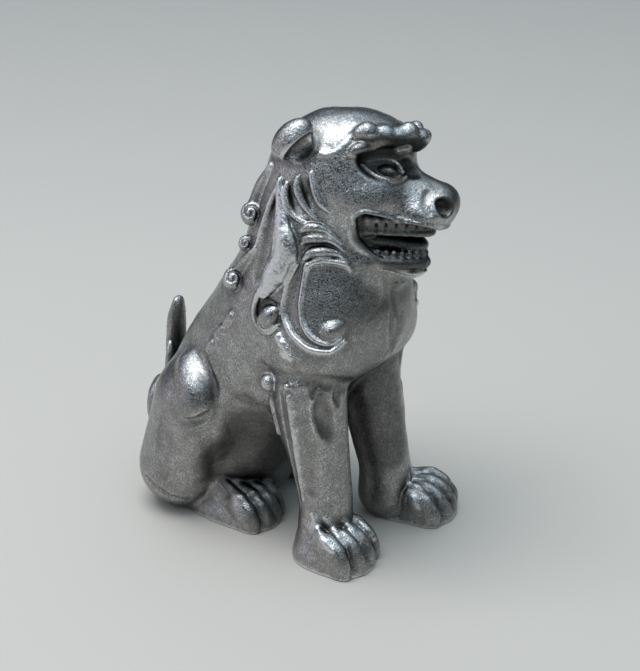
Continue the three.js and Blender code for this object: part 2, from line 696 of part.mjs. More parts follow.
// Cutters: the floor, the other half of the figure, and the larger castings with the solder gap
const CUTTER_SIZE = 400;
const floor = solid(new THREE.BoxGeometry(CUTTER_SIZE, CUTTER_SIZE, CUTTER_SIZE).translate(0, 0, -CUTTER_SIZE / 2));
const otherHalf = (side) =>
  solid(
    new THREE.BoxGeometry(CUTTER_SIZE, CUTTER_SIZE, CUTTER_SIZE).translate(
      side * (SOLDER_GAP - CUTTER_SIZE / 2),
      0,
      0,
    ),
  );
const trunkRoom = trunkForm(SOLDER_GAP);
const upperHeadRoom = upperHeadForm(SOLDER_GAP);
const headRoom = fromHead(
  joined([
    upperHeadRoom,
    jawForm(SOLDER_GAP),
    earForm(SIDE_SIGNS.right)(SOLDER_GAP),
    earForm(SIDE_SIGNS.left)(SOLDER_GAP),
  ]),
);
const plumeRoom = plumeForm(SOLDER_GAP);

// Assembly: each mesh keeps the largest body of its shape
const statue = new THREE.Group();
function addMesh(parent, name, shape, finish) {
  const bodies = shape.decompose().sort((a, b) => b.volume() - a.volume());
  const mesh = new THREE.Mesh(geometryOf(bodies[0]), new THREE.MeshStandardMaterial(finish));
  mesh.name = name;
  parent.add(mesh);
}
const addCasting = (parent, name, shape, cutters) => addMesh(parent, name, cutBy(shape, cutters), CAST_METAL);
const addPin = (parent, name, form) => addMesh(parent, name, form(0), PIN_STEEL);

function addHead() {
  const upperTeeth = teeth(UPPER_TEETH_REACH, UPPER_TEETH_HALF_WIDTH, UPPER_TEETH_DROP, -1);
  const lowerTeeth = teeth(LOWER_TEETH_REACH, LOWER_TEETH_HALF_WIDTH, LOWER_TEETH_DROP, 1);
  const headShape = upperHeadForm(0).subtract(mouthForm(0)).add(upperTeeth);
  const jawShape = jawForm(0).subtract(mouthForm(0)).add(tongueForm(0)).add(lowerTeeth);
  const headHoles = [neckPin, jawPin, earPin(-1), earPin(1)].map((form) => form(PIN_CLEARANCE));
  const nostrils = [nostrilForm(-1)(0), nostrilForm(1)(0)];
  addCasting(headFrame, "head", headShape, [...headHoles, ...nostrils]);
  addCasting(headFrame, "lower_jaw", jawShape, [upperHeadRoom, jawPin(PIN_CLEARANCE)]);
  addPin(headFrame, "neck_dowel", neckPin);
  addPin(headFrame, "jaw_dowel", jawPin);
  for (const [word, side] of Object.entries(SIDE_SIGNS)) {
    addCasting(headFrame, `${word}_ear`, earForm(side)(0), [upperHeadRoom, earPin(side)(PIN_CLEARANCE)]);
    addPin(headFrame, `${word}_ear_pin`, earPin(side));
  }
  statue.add(headFrame);
}

function addTrunk() {
  const pins = [legPin(-1), legPin(1), hipPin(-1), hipPin(1), tailPin];
  const holes = pins.map((form) => form(PIN_CLEARANCE));
  addCasting(statue, "torso", trunkForm(0), [floor, headRoom, fromHead(neckPin(PIN_CLEARANCE)), ...holes]);
}

function addOrnaments(word, side) {
  const lockRoom = maneLockForm(side)(SOLDER_GAP);
  const scrollRoom = chestCurlForm(side)(SOLDER_GAP);
  const seat = [trunkRoom, headRoom];
  addCasting(statue, `${word}_mane_lock`, maneLockForm(side)(0), seat);
  addCasting(statue, `${word}_chest_curl`, chestCurlForm(side)(0), [...seat, lockRoom]);
  addCasting(statue, `${word}_cheek_tuft`, cheekTuftForm(side)(0), [...seat, lockRoom, scrollRoom]);
  const curlRooms = NAPE_CURL_PLACES.map((_, n) => napeCurlForm(side, n)(SOLDER_GAP));
  NAPE_CURL_PLACES.forEach((_, n) => {
    const curlsAbove = curlRooms.slice(0, n);
    addCasting(statue, `${word}_nape_curl_${n + 1}`, napeCurlForm(side, n)(0), [...seat, lockRoom, ...curlsAbove]);
  });
  return [lockRoom, scrollRoom];
}

function addLegs(word, side, ornamentRooms) {
  const seat = [trunkRoom, floor, otherHalf(side)];
  const foreCutters = [...seat, ...ornamentRooms, legPin(side)(PIN_CLEARANCE)];
  addCasting(statue, `${word}_foreleg`, forelegForm(word, side)(0), foreCutters);
  addPin(statue, `${word}_foreleg_dowel`, legPin(side));
  const neighbours = [forelegForm(word, side)(SOLDER_GAP), plumeRoom, tailCurlForm(side)(SOLDER_GAP)];
  const hindCutters = [...seat, ...neighbours, hipPin(side)(PIN_CLEARANCE)];
  addCasting(statue, `${word}_hindleg`, hindlegForm(word, side)(0), hindCutters);
  addPin(statue, `${word}_hindleg_dowel`, hipPin(side));
}

addHead();
addTrunk();
for (const [word, side] of Object.entries(SIDE_SIGNS)) {
  const ornamentRooms = addOrnaments(word, side);
  addLegs(word, side, ornamentRooms);
  addCasting(statue, `tail_${word}_curl`, tailCurlForm(side)(0), [trunkRoom, plumeRoom, otherHalf(side)]);
}
addCasting(statue, "tail_plume", plumeForm(0), [trunkRoom, tailPin(PIN_CLEARANCE)]);
addPin(statue, "tail_dowel", tailPin);

// The origin is under the middle of the whole figure, on the floor.
const reach = new THREE.Box3().setFromObject(statue, true);
const middle = reach.getCenter(point(0, 0, 0));
statue.position.set(-middle.x, -middle.y, -reach.min.z);

export default statue;
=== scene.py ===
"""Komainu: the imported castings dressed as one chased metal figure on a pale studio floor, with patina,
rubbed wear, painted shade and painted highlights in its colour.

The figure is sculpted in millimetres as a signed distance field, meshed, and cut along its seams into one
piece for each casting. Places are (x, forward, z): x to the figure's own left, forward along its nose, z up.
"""
import math
from typing import NamedTuple

import bpy
import numpy as np
import openvdb
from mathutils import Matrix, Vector


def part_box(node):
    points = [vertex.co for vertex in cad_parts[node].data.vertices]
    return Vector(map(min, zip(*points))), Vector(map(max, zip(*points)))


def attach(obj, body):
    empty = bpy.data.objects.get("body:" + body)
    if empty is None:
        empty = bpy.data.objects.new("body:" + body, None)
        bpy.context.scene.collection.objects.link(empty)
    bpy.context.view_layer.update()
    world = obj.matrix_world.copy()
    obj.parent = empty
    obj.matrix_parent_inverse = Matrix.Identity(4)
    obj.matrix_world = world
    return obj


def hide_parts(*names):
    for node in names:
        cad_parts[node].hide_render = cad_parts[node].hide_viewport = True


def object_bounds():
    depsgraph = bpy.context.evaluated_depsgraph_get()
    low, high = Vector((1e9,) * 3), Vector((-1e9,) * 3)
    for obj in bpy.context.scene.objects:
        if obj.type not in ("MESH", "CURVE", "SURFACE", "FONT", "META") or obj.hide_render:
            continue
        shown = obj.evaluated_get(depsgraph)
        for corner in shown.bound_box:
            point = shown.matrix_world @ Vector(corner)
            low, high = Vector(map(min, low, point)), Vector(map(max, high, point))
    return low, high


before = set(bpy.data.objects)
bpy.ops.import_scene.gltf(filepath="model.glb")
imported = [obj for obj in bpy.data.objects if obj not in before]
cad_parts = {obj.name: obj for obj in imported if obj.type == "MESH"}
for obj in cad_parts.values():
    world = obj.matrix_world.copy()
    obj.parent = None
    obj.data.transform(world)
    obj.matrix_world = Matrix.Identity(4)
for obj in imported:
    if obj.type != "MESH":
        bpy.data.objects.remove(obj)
CAD_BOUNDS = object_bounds()

MM = 0.001
SIDES = {"right": -1, "left": 1}

# Camera, as the photograph was taken
IMAGE_SIZE = (640, 671)
CAMERA_AZIMUTH = -52
CAMERA_ELEVATION = 26
CAMERA_DISTANCE = 420
CAMERA_LONG_ANGLE = 19
CAMERA_AIM = (-1.72, 0, 45)

# Clay
FINE_CELL = 0.22
LAST_CELL = 1.001
TINY = 1e-9
MARGIN = 2.5
BALL_MARGIN = 5
FAR = 4.0
SPLINE_STEPS = 8
DRAWN_STEPS = 4
NORMAL_STEP = 0.8
LEAP = 5
STAIN_AND_SHADE_REACH = 0.8
SOFT_REACH = 2.4
LAYING_ROUNDS = 3
NECK_BLEND = 3.5

# Figure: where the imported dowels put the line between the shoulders
SHOULDER_FORWARD = 5
HEAD_PIVOT = (0, 2, 80)
HEAD_TURN = 25
HEAD_TILT = 15


def node_middle(node):
    low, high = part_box(node)
    return np.array((low + high) / 2) / MM


SHOULDER_LINE = (node_middle("right_foreleg_dowel") + node_middle("left_foreleg_dowel")) / 2
ORIGIN = np.array([SHOULDER_LINE[0], SHOULDER_LINE[1] + SHOULDER_FORWARD, 0.0])


def spot(x, forward, z):
    """A place on the body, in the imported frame."""
    return ORIGIN + np.array([x, -forward, z])


def turning(axis, degrees):
    """The matrix of a turn about x, y or z."""
    c, s = math.cos(math.radians(degrees)), math.sin(math.radians(degrees))
    first, second = [i for i in range(3) if i != "xyz".index(axis)]
    turn = np.eye(3)
    turn[first, first] = turn[second, second] = c
    sign = -1 if axis == "y" else 1
    turn[first, second] = -s * sign
    turn[second, first] = s * sign
    return turn


HEAD_AXES = turning("z", HEAD_TURN) @ turning("y", HEAD_TILT)
HEAD_ORIGIN = spot(*HEAD_PIVOT)


def head_spot(x, forward, z):
    """A place on the head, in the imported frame."""
    return HEAD_ORIGIN + HEAD_AXES @ np.array([x, -forward, z])


def body_mirror(points):
    return points * (-1, 1, 1) + (2 * ORIGIN[0], 0, 0)


def head_mirror(points):
    local = (points - HEAD_ORIGIN) @ HEAD_AXES
    return HEAD_ORIGIN + (local * (-1, 1, 1)) @ HEAD_AXES.T


def spline(knots, steps=SPLINE_STEPS):
    """Points on a smooth curve through the knots, whose columns may hold places, pixels or radii."""
    knots = np.asarray(knots, float)
    padded = np.vstack([2 * knots[0] - knots[1], knots, 2 * knots[-1] - knots[-2]])
    share = np.arange(steps)[:, None] / steps
    spans = []
    for a, b, c, d in zip(padded, padded[1:], padded[2:], padded[3:]):
        bend = (2 * a - 5 * b + 4 * c - d) * share**2 + (3 * b - a - 3 * c + d) * share**3
        spans.append(0.5 * (2 * b + (c - a) * share + bend))
    return np.vstack([*spans, knots[-1]])


# Camera rays, in millimetres
def camera_axes():
    azimuth, elevation = math.radians(CAMERA_AZIMUTH), math.radians(CAMERA_ELEVATION)
    level = math.cos(elevation)
    back = np.array([math.sin(azimuth) * level, -math.cos(azimuth) * level, math.sin(elevation)])
    right = np.array([math.cos(azimuth), math.sin(azimuth), 0.0])
    return right, np.cross(back, right), back


CAMERA_RIGHT, CAMERA_UP, CAMERA_BACK = camera_axes()
CAMERA_PLACE = spot(*CAMERA_AIM) + CAMERA_DISTANCE * CAMERA_BACK
PIXEL_FOCUS = IMAGE_SIZE[1] / 2 / math.tan(math.radians(CAMERA_LONG_ANGLE / 2))


def unit(direction):
    return direction / np.linalg.norm(direction)


def pixel_ray(pixel):
    """The direction from the camera through a pixel of the photograph."""
    across = (pixel[0] - IMAGE_SIZE[0] / 2) / PIXEL_FOCUS
    rise = (IMAGE_SIZE[1] / 2 - pixel[1]) / PIXEL_FOCUS
    return unit(across * CAMERA_RIGHT + rise * CAMERA_UP - CAMERA_BACK)


def smooth_min(a, b, blend):
    if blend <= 0:
        return np.minimum(a, b)
    near = np.clip(1 - np.abs(a - b) / blend, 0, 1)
    return np.minimum(a, b) - near * near * (blend / 4)


def unit_rows(rows):
    return rows / np.maximum(np.linalg.norm(rows, axis=1, keepdims=True), TINY)


def mixed(grid, base, share):
    """Values of a grid at shares of the way from base cells to the next ones."""
    total = np.zeros(len(base))
    for corner in np.ndindex(2, 2, 2):
        weight = np.prod(np.where(corner, share, 1 - share), axis=1)
        total += weight * grid[tuple((base + corner).T)]
    return total


class Clay:
    """A signed distance field on a grid of cells, with the nearest casting and the metal's tone in each."""

    def __init__(self, low, high, cell):
        self.cell = cell
        self.low = np.asarray(low, float)
        count = np.ceil((np.asarray(high) - self.low) / cell).astype(int) + 1
        self.axes = [(self.low[i] + cell * np.arange(count[i])).astype(np.float32) for i in range(3)]
        self.field = np.full(count, FAR, np.float32)
        self.nearest = np.full(count, FAR, np.float32)
        self.owner = np.zeros(count, np.int8)
        self.tone = np.zeros(count, np.float16)
        self.count = count

    def window(self, low, high):
        first = np.clip(np.floor((low - self.low) / self.cell).astype(int), 0, self.count)
        last = np.clip(np.ceil((high - self.low) / self.cell).astype(int) + 1, first, self.count)
        return tuple(slice(a, b) for a, b in zip(first, last))

    def grid(self, window):
        x, y, z = (axis[part] for axis, part in zip(self.axes, window))
        return x[:, None, None], y[None, :, None], z[None, None, :]

    def ball(self, centre, radii, axes=np.eye(3)):
        """An ellipsoid's window and distance. The radii are along the columns of axes."""
        radii = np.asarray(radii, float)
        reach = np.sqrt(((axes * radii) ** 2).sum(1)) + BALL_MARGIN
        window = self.window(centre - reach, centre + reach)
        x, y, z = self.grid(window)
        unit = slope = 0
        offset = (x - centre[0], y - centre[1], z - centre[2])
        for axis, radius in zip(axes.T, radii):
            along = sum(o * a for o, a in zip(offset, axis))
            unit = unit + (along / radius) ** 2
            slope = slope + (along / radius**2) ** 2
        unit = np.sqrt(unit)
        return window, (unit * (unit - 1) / np.maximum(np.sqrt(slope), TINY)).astype(np.float32)

    def stroke(self, points, radii, flat=None, thin=1.0):
        """A round limb's window and distance. It is thinner by a factor along the flat direction."""
        points = np.asarray(points, float)
        radii = np.broadcast_to(np.asarray(radii, float), len(points))
        reach = radii[:, None] / min(thin, 1) + MARGIN
        window = self.window((points - reach).min(0), (points + reach).max(0))
        distance = np.full([part.stop - part.start for part in window], FAR, np.float32)
        flats = None if flat is None else np.broadcast_to(flat, points.shape)
        for i in range(len(points) - 1):
            pair = points[i:i + 2]
            part = self.window((pair - reach[i:i + 2]).min(0), (pair + reach[i:i + 2]).max(0))
            inner = tuple(slice(p.start - w.start, p.stop - w.start) for p, w in zip(part, window))
            direction = flats[i] if flats is not None else None
            piece = self.segment(part, pair, radii[i:i + 2], direction, thin)
            distance[inner] = np.minimum(distance[inner], piece)
        return window, distance

    def segment(self, window, pair, radii, direction, thin):
        x, y, z = self.grid(window)
        start, along = pair[0].astype(np.float32), (pair[1] - pair[0]).astype(np.float32)
        offset = [x - start[0], y - start[1], z - start[2]]
        share = sum(o * a for o, a in zip(offset, along)) / max(along @ along, TINY)
        np.clip(share, 0, 1, out=share)
        offset = [o - share * a for o, a in zip(offset, along)]
        square = sum(o**2 for o in offset)
        if direction is not None:
            through = sum(o * np.float32(d) for o, d in zip(offset, direction))
            square += np.float32(thin**2 - 1) * through**2
        return np.sqrt(square) - (radii[0] + (radii[1] - radii[0]) * share).astype(np.float32)

    def prism(self, outline, origin, axes, half):
        """The window and distance of an outline in (forward, z), drawn out to both sides of the origin."""
        outline = np.asarray(outline, float)
        ends = [(x, -forward, z) for x in (-half, half) for forward, z in outline]
        corners = origin + np.array(ends) @ axes.T
        window = self.window(corners.min(0) - MARGIN, corners.max(0) + MARGIN)
        x, y, z = self.grid(window)
        x, y, z = x - origin[0], y - origin[1], z - origin[2]
        over, back, rise = (x * axis[0] + y * axis[1] + z * axis[2] for axis in axes.T)
        forward = -back
        nearest = np.full(over.shape, np.inf)
        inside = np.zeros(over.shape, bool)
        for a, b in zip(outline, np.roll(outline, -1, axis=0)):
            span = b - a
            share = np.clip(((forward - a[0]) * span[0] + (rise - a[1]) * span[1]) / (span @ span), 0, 1)
            gap = (forward - a[0] - share * span[0]) ** 2 + (rise - a[1] - share * span[1]) ** 2
            nearest = np.minimum(nearest, gap)
            if a[1] != b[1]:
                crosses = (rise > a[1]) != (rise > b[1])
                inside ^= crosses & (forward < a[0] + (rise - a[1]) / span[1] * span[0])
        distance = np.sqrt(nearest) * np.where(inside, -1, 1)
        return window, np.maximum(distance, np.abs(over) - half).astype(np.float32)

    def add(self, shape, owner, blend):
        window, distance = shape
        nearer = distance < self.nearest[window]
        self.owner[window][nearer] = owner
        self.nearest[window] = np.minimum(self.nearest[window], distance)
        self.field[window] = smooth_min(self.field[window], distance, blend)

    def cut(self, shape, blend):
        window, distance = shape
        self.field[window] = -smooth_min(-self.field[window], distance, blend)

    def stain_and_shade(self, shape, amount, reach=STAIN_AND_SHADE_REACH):
        """Darkens the metal in and near a shape, as grime and as painted shade, or brightens it with a
        negative amount, as rubbed wear and as painted highlight. Zero leaves it.
        """
        if not amount:
            return
        window, distance = shape
        share = np.clip(1 - distance / reach, 0, 1)
        before = self.tone[window].astype(np.float32)
        self.tone[window] = (before + share * (amount - before)).astype(np.float16)

    def sample(self, points, grid=None):
        """The field between its cells."""
        grid = self.field if grid is None else grid
        place = np.clip((points - self.low) / self.cell, 0, self.count - LAST_CELL)
        base = place.astype(int)
        return mixed(grid, base, place - base)

    def normals(self, points, step, grid=None):
        steps = step * np.eye(3)
        slope = [self.sample(points + away, grid) - self.sample(points - away, grid) for away in steps]
        return unit_rows(np.stack(slope, 1))

    def join(self, other, blend):
        """Presses another clay of the same size onto this one."""
        nearer = other.nearest < self.nearest
        self.owner[nearer] = other.owner[nearer]
        self.nearest = np.minimum(self.nearest, other.nearest)
        self.field = smooth_min(self.field, other.field, blend)
        self.tone += other.tone

    def laid(self, places):
        """Places moved onto the frozen clay, with its outward directions there."""
        for _ in range(LAYING_ROUNDS):
            outward = self.normals(places, NORMAL_STEP, self.frozen)
            places = places - self.sample(places, self.frozen)[:, None] * outward
        return places, self.normals(places, NORMAL_STEP, self.frozen)

    def hit(self, pixel):
        """Where the ray through a pixel first meets the frozen clay, or None."""
        ray = pixel_ray(pixel)
        reach = np.linalg.norm(self.cell * self.count) / 2
        depths = np.arange(CAMERA_DISTANCE - reach, CAMERA_DISTANCE + reach, self.cell / 2)
        places = CAMERA_PLACE + depths[:, None] * ray
        inside = np.all((places > self.low) & (places < self.low + self.cell * (self.count - 1)), axis=1)
        places = places[inside]
        values = self.sample(places, self.frozen)
        solid = np.flatnonzero(values < 0)
        if len(solid) == 0 or solid[0] == 0:
            return None
        after = solid[0]
        share = values[after - 1] / (values[after - 1] - values[after])
        return places[after - 1] + share * (places[after] - places[after - 1])

    def drawn(self, pixels, radii):
        """Places, outward directions and radii along a smooth line through pixels of the photograph."""
        rows = np.column_stack([pixels, np.broadcast_to(radii, len(pixels))])
        run = spline(rows, DRAWN_STEPS)
        places, widths = [], []
        for row in run:
            place = self.hit(row[:2])
            if place is None or (places and np.linalg.norm(place - places[-1]) > LEAP):
                continue
            places.append(place)
            widths.append(row[2])
        places, radii = np.array(places), np.array(widths)
        return places, self.normals(places, NORMAL_STEP, self.frozen), radii


# Castings, by the numbers that the clay keeps. The braces take the word for a side
SINGLE = ("torso", "head", "lower_jaw", "tail_plume")
PAIRED = (
    "tail_{}_curl", "{}_ear", "{}_foreleg", "{}_hindleg", "{}_mane_lock", "{}_chest_curl", "{}_cheek_tuft",
    "{}_nape_curl_1", "{}_nape_curl_2", "{}_nape_curl_3",
)
CASTINGS = [*SINGLE, *(part.format(word) for part in PAIRED for word in SIDES)]
NUMBER = {name: i for i, name in enumerate(CASTINGS)}

# Forms are balls or limbs, given for the left side. A limb's rows hold x, forward, z and radius
BODY = (spot, np.eye(3))
HEAD = (head_spot, HEAD_AXES)

# Trunk
TRUNK = dict(blend=0, rows=[
    (0, -25, 13, 15.5), (0, -20.5, 28, 17), (0, -9.5, 43, 18), (0, -2.5, 57, 16.6), (0, -1, 69, 14.4),
    (0, -1, 79, 11),
])
CHEST = dict(at=(0, 6, 53), radii=(15.5, 12.5, 14.5), blend=5)
SHOULDER = dict(at=(9.5, 4.5, 47), radii=(9, 10, 9.5), blend=4)
WAIST = dict(at=(19.5, -8, 19), radii=(8, 9, 14), blend=4)

# Legs
FORELEG_BLEND = 1.2
FORELEG_ROWS = {
    "right": [
        (11.3, 5, 42, 7.6), (11.3, 5.3, 33, 7.4), (10.8, 7.5, 20, 6.1), (10.6, 8.5, 12, 5.7),
        (10.6, 8.5, 5, 5.9),
    ],
    "left": [
        (10, 4.2, 42, 7.6), (9.9, 4.3, 33, 7.2), (10.1, 6.8, 20, 6.1), (10.4, 8.4, 12, 5.7),
        (10.6, 8.5, 5, 5.9),
    ],
}
LEG_FIN = dict(blend=1.5, rows=[
    (13.5, -1.6, 37, 2.2), (12.6, -1.4, 30, 2), (11.2, 0.6, 20, 1.3), (10.8, 2.9, 11, 0.8),
])
HAUNCH = dict(rows=[(12.7, -29.6, 9.5, 9.9), (12.8, -26.6, 20, 9.6), (13.2, -25, 27, 8.4)], blend=2.5)
HAUNCH_BULGE = dict(at=(11.8, -22.6, 27.6), radii=(9.6, 9.6, 10), blend=5)
SHIN = dict(rows=[(14, -24, 30, 5), (13.2, -25.5, 18, 6.4), (12.4, -27, 9, 5.6)], blend=2)

# Paws: shares of the paw's length, width and height, or of the room that one toe has
PAWS_TURN = 11
FLOOR_RISE = 0.5
SOLE = dict(heel=0.95, tip=0.7, taper=0.96, rise=0.8, blend=1.5)
PAD = dict(heel=0.45, tip=0.54, spread=1.04, rise=0.55, blend=1)
INSTEP = dict(start=0.28, spread=0.72, start_rise=0.8, end_rise=0.5, blend=1)
TOES = 4
TOE_UPRIGHT = 0.46
TOE_BACK = 0.36
TOE_TIP = 0.9
TOE_BLEND = 0.5
TOE = dict(over=(0.8, 0.95, 1, 1.02), rise=(0.42, 0.45, 0.32, 0.18), spread=(0.5, 0.64, 0.62, 0.58))
KNUCKLE = 0.44
TENDON_START = 0.45
TENDON_BLEND = 0.8
TENDON = dict(over=(0.45, 0.8, 0.95), rise=(0.98, 0.8, 0.78), ridge=(2, 1, 0.5))
TENDON_SPREAD = (0.2, 0.34, 0.44)
CLAW = dict(tip=0.6, over=1.02, rise=0.22, half=0.5, long=0.66, tall=0.45, blend=0.25)
FORE_PAW = dict(heel=(12.6, 2.9), width=13.5, toes=0.46, ridge=0)
FORE_PAW_RUN = {
    "right": dict(splay=9, length=18.6, height=9.4),
    "left": dict(splay=2, length=20.6, height=8.2),
}
HIND_PAW = dict(splay=8, width=12, height=8.2, toes=0.6, ridge=1.2)
HIND_PAW_RUN = {"right": dict(heel=(11, -28), length=22.5), "left": dict(heel=(11, -29), length=20.5)}

# Tail
PLUME = dict(blend=1, flat=(0, 1, 0), thin=1.7, rows=[
    (0, -40, 12, 3.3), (0, -42, 22, 3), (0, -42.4, 30, 2.9), (0, -42, 36, 2.6), (0, -41.4, 40, 1.7),
])
PLUME_ROOT = dict(at=(0, -40.4, 14), radii=(3.4, 4.4, 4.6), blend=1)
PLUME_SIDE = dict(blend=0.5, rows=[
    (1.6, -39.6, 14, 2), (3.4, -40.6, 21, 1.7), (3.6, -41.2, 27, 1.1), (2.9, -41.6, 31, 0.5),
])
PLUME_GROOVE = dict(rows=[(1.1, -44.2, 17, 0.4), (1.2, -44.6, 26, 0.5), (0.7, -44.1, 36, 0.3)], blend=0.5)
TAIL_CURL_HEART = dict(at=(7.2, -39.4, 18.2), radii=(2.6, 1.8, 4.2), blend=0.8)
TAIL_CURL = dict(blend=0.8, rows=[
    (2, -40.4, 11, 1.6), (5.8, -40.4, 12, 2.1), (9.2, -40, 16, 2.3), (9.2, -40.2, 21, 2.1),
    (6.6, -41, 23.4, 1.6), (5.6, -41, 20, 1.3),
])


class Line(NamedTuple):
    """Beads along runs of pixels in the photograph, or grooves. Radii, blend and lift are in millimetres."""

    part: str
    radii: object
    blend: float
    runs: list
    lift: float = 0
    gouge: bool = False
    # Tone put on the line: grime and painted shade when positive, rubbed wear and painted highlight when
    # negative
    stain_and_shade: float = 0
    thin: float = 1


# Tones of the metal: positive darkens it, as grime in hollows and as painted shade, negative brightens it, as
# rubbed wear and as painted highlight
# Crests rubbed bright: partly wear, partly a painted highlight
CREST_RUB_AND_HIGHLIGHT = -0.2
# The lock and the elbow lumps rubbed bright: partly wear, partly a painted highlight
LOCK_RUB_AND_HIGHLIGHT = -0.36
HOLLOW_GRIME = 0.14
# Painted shade in the eye sockets and the tear lines, under the brow
SOCKET_PAINTED_SHADE = 0.65
# Painted shade on the eyelids, in the brow's shadow
LID_PAINTED_SHADE = 0.25
# Painted shade on the folds around the eyes
FOLD_PAINTED_SHADE = 0.1
# Painted shade and painted dark reflection on the brow's lower front
BROW_PAINTED_SHADE = 0.75
# Painted shade inside the mouth
MOUTH_PAINTED_SHADE = 0.42
# Darkens the nose ball
NOSE_DARKENING = 0.16
# Painted shade for the spots on the belly and the far foreleg
PAINTED_SHADE_TONE = 0.28


def stations(rows, place, side=1):
    """A smooth run of points and radii through stations, on one side of the figure."""
    run = spline([(*place(side * x, forward, z), radius) for x, forward, z, radius in rows])
    return run[:, :3], run[:, 3]


def form_of(clay, form, side=1, where=BODY):
    """The window and distance of a form on the body or the head."""
    place, axes = where
    if "at" in form:
        x, forward, z = form["at"]
        return clay.ball(place(side * x, forward, z), form["radii"], axes)
    return clay.stroke(*stations(form["rows"], place, side), form.get("flat"), form.get("thin", 1))


def press(clay, part, form, side=1, where=BODY):
    clay.add(form_of(clay, form, side, where), NUMBER[part], form["blend"])


def carve(clay, shape, blend, stain_and_shade=0):
    clay.cut(shape, blend)
    clay.stain_and_shade(shape, stain_and_shade)


def shape_trunk(clay):
    press(clay, "torso", TRUNK)
    press(clay, "torso", CHEST)
    for side in SIDES.values():
        press(clay, "torso", SHOULDER, side)
        carve(clay, form_of(clay, WAIST, side), WAIST["blend"])


def shape_paw(clay, part, side, heel, splay, length, width, height, toes, ridge):
    """A paw with its heel on the floor. The toes start at a share of its length, and ridges run to them."""
    owner = NUMBER[part]
    turn = math.radians(side * splay + PAWS_TURN)
    ahead = np.array([math.sin(turn), -math.cos(turn), 0])
    across = np.array([math.cos(turn), math.sin(turn), 0])
    up = (0, 0, 1)
    start = spot(side * heel[0], heel[1], 0)

    def at(along, over, z):
        return start + along * ahead + over * across + (0, 0, z)

    radius = width / 2
    sole = [at(radius * SOLE["heel"], 0, FLOOR_RISE), at(length - width * SOLE["tip"], 0, FLOOR_RISE)]
    sole = clay.stroke(sole, [radius, radius * SOLE["taper"]], up, radius / (height * SOLE["rise"]))
    clay.add(sole, owner, SOLE["blend"])
    pad = [at(length * PAD["heel"], 0, FLOOR_RISE), at(length - width * PAD["tip"], 0, FLOOR_RISE)]
    pad = clay.stroke(pad, radius * PAD["spread"], up, radius / (height * PAD["rise"]))
    clay.add(pad, owner, PAD["blend"])
    if ridge:
        back = at(length * INSTEP["start"], 0, height * INSTEP["start_rise"])
        instep = [back, at(length * toes, 0, height * INSTEP["end_rise"])]
        clay.add(clay.stroke(instep, radius * INSTEP["spread"]), owner, INSTEP["blend"])
    room = width / TOES
    knuckle = toes + (1 - toes) * KNUCKLE
    for n in range(TOES):
        over = (n - (TOES - 1) / 2) * room
        back = abs(over) * TOE_BACK
        bend = length * knuckle - back
        middle = length * (knuckle + 1) / 2 - back
        alongs = (length * toes - back / 2, bend, middle, length - room * TOE_TIP - back)
        rows = zip(alongs, *TOE.values())
        run = spline([(*at(along, over * o, height * z), room * r) for along, o, z, r in rows])
        clay.add(clay.stroke(run[:, :3], run[:, 3], up, TOE_UPRIGHT), owner, TOE_BLEND)
        rows = zip((length * toes * TENDON_START, length * toes, bend), *TENDON.values())
        tendon = [at(along, over * o, height * z + r * ridge) for along, o, z, r in rows]
        tendon = clay.stroke(tendon, [room * share for share in TENDON_SPREAD])
        clay.add(tendon, owner, TENDON_BLEND)
        # Tendon crests rubbed bright: partly wear, partly a painted highlight
        clay.stain_and_shade(tendon, CREST_RUB_AND_HIGHLIGHT)
        tip = at(length - room * CLAW["tip"] - back, over * CLAW["over"], height * CLAW["rise"])
        radii = (room * CLAW["half"], room * CLAW["long"], height * CLAW["tall"])
        clay.add(clay.ball(tip, radii, np.stack([across, ahead, up], 1)), owner, CLAW["blend"])


def shape_legs(clay):
    for word, side in SIDES.items():
        fore, hind = f"{word}_foreleg", f"{word}_hindleg"
        press(clay, fore, dict(rows=FORELEG_ROWS[word], blend=FORELEG_BLEND), side)
        press(clay, fore, LEG_FIN, side)
        shape_paw(clay, fore, side, **FORE_PAW, **FORE_PAW_RUN[word])
        press(clay, hind, HAUNCH, side)
        press(clay, hind, HAUNCH_BULGE, side)
        press(clay, hind, SHIN, side)
        shape_paw(clay, hind, side, **HIND_PAW, **HIND_PAW_RUN[word])


def shape_tail(clay):
    press(clay, "tail_plume", PLUME)
    press(clay, "tail_plume", PLUME_ROOT)
    for word, side in SIDES.items():
        press(clay, "tail_plume", PLUME_SIDE, side)
        carve(clay, form_of(clay, PLUME_GROOVE, side), PLUME_GROOVE["blend"])
        press(clay, f"tail_{word}_curl", TAIL_CURL_HEART, side)
        press(clay, f"tail_{word}_curl", TAIL_CURL, side)


# Head
SKULL = dict(at=(0, 1.5, 2.6), radii=(11.5, 13.5, 12.2), blend=4)
FACE = dict(at=(0, 8, 1), radii=(14, 22, 15))
# The face rubbed bright: partly polish, partly a painted sheen
FACE_RUB_AND_SHEEN = -0.1
FOREHEAD = dict(at=(0, 7.2, 6.2), radii=(10.6, 9.2, 7.8), blend=3)
MUZZLE = dict(rows=[(0, 6, -2.9, 9.3), (0, 16, -3.1, 6.4), (0, 20.6, -3.6, 5.1)], blend=3)
CHEEK = dict(at=(7.2, 6.5, -2.4), radii=(4.2, 7.4, 5.4), blend=3)
LIP_PAD = dict(at=(3.4, 19, -5.2), radii=(3.6, 4.6, 3.2), blend=2)
NOSE = dict(at=(0, 22.6, -2.4), radii=(4.2, 3.4, 3.2), blend=1.5)
NOSE_WING = dict(at=(2.4, 22.2, -3.8), radii=(2.6, 3.2, 2.7), blend=0.8)
SOCKET = dict(at=(9.9, 13, 5.8), radii=(3.9, 6.2, 3.9), blend=1.2)
EYE = dict(at=(5.9, 12.4, 3), radii=(2.2, 3, 1.7), blend=0.2)
BROW_BLEND = 0.8
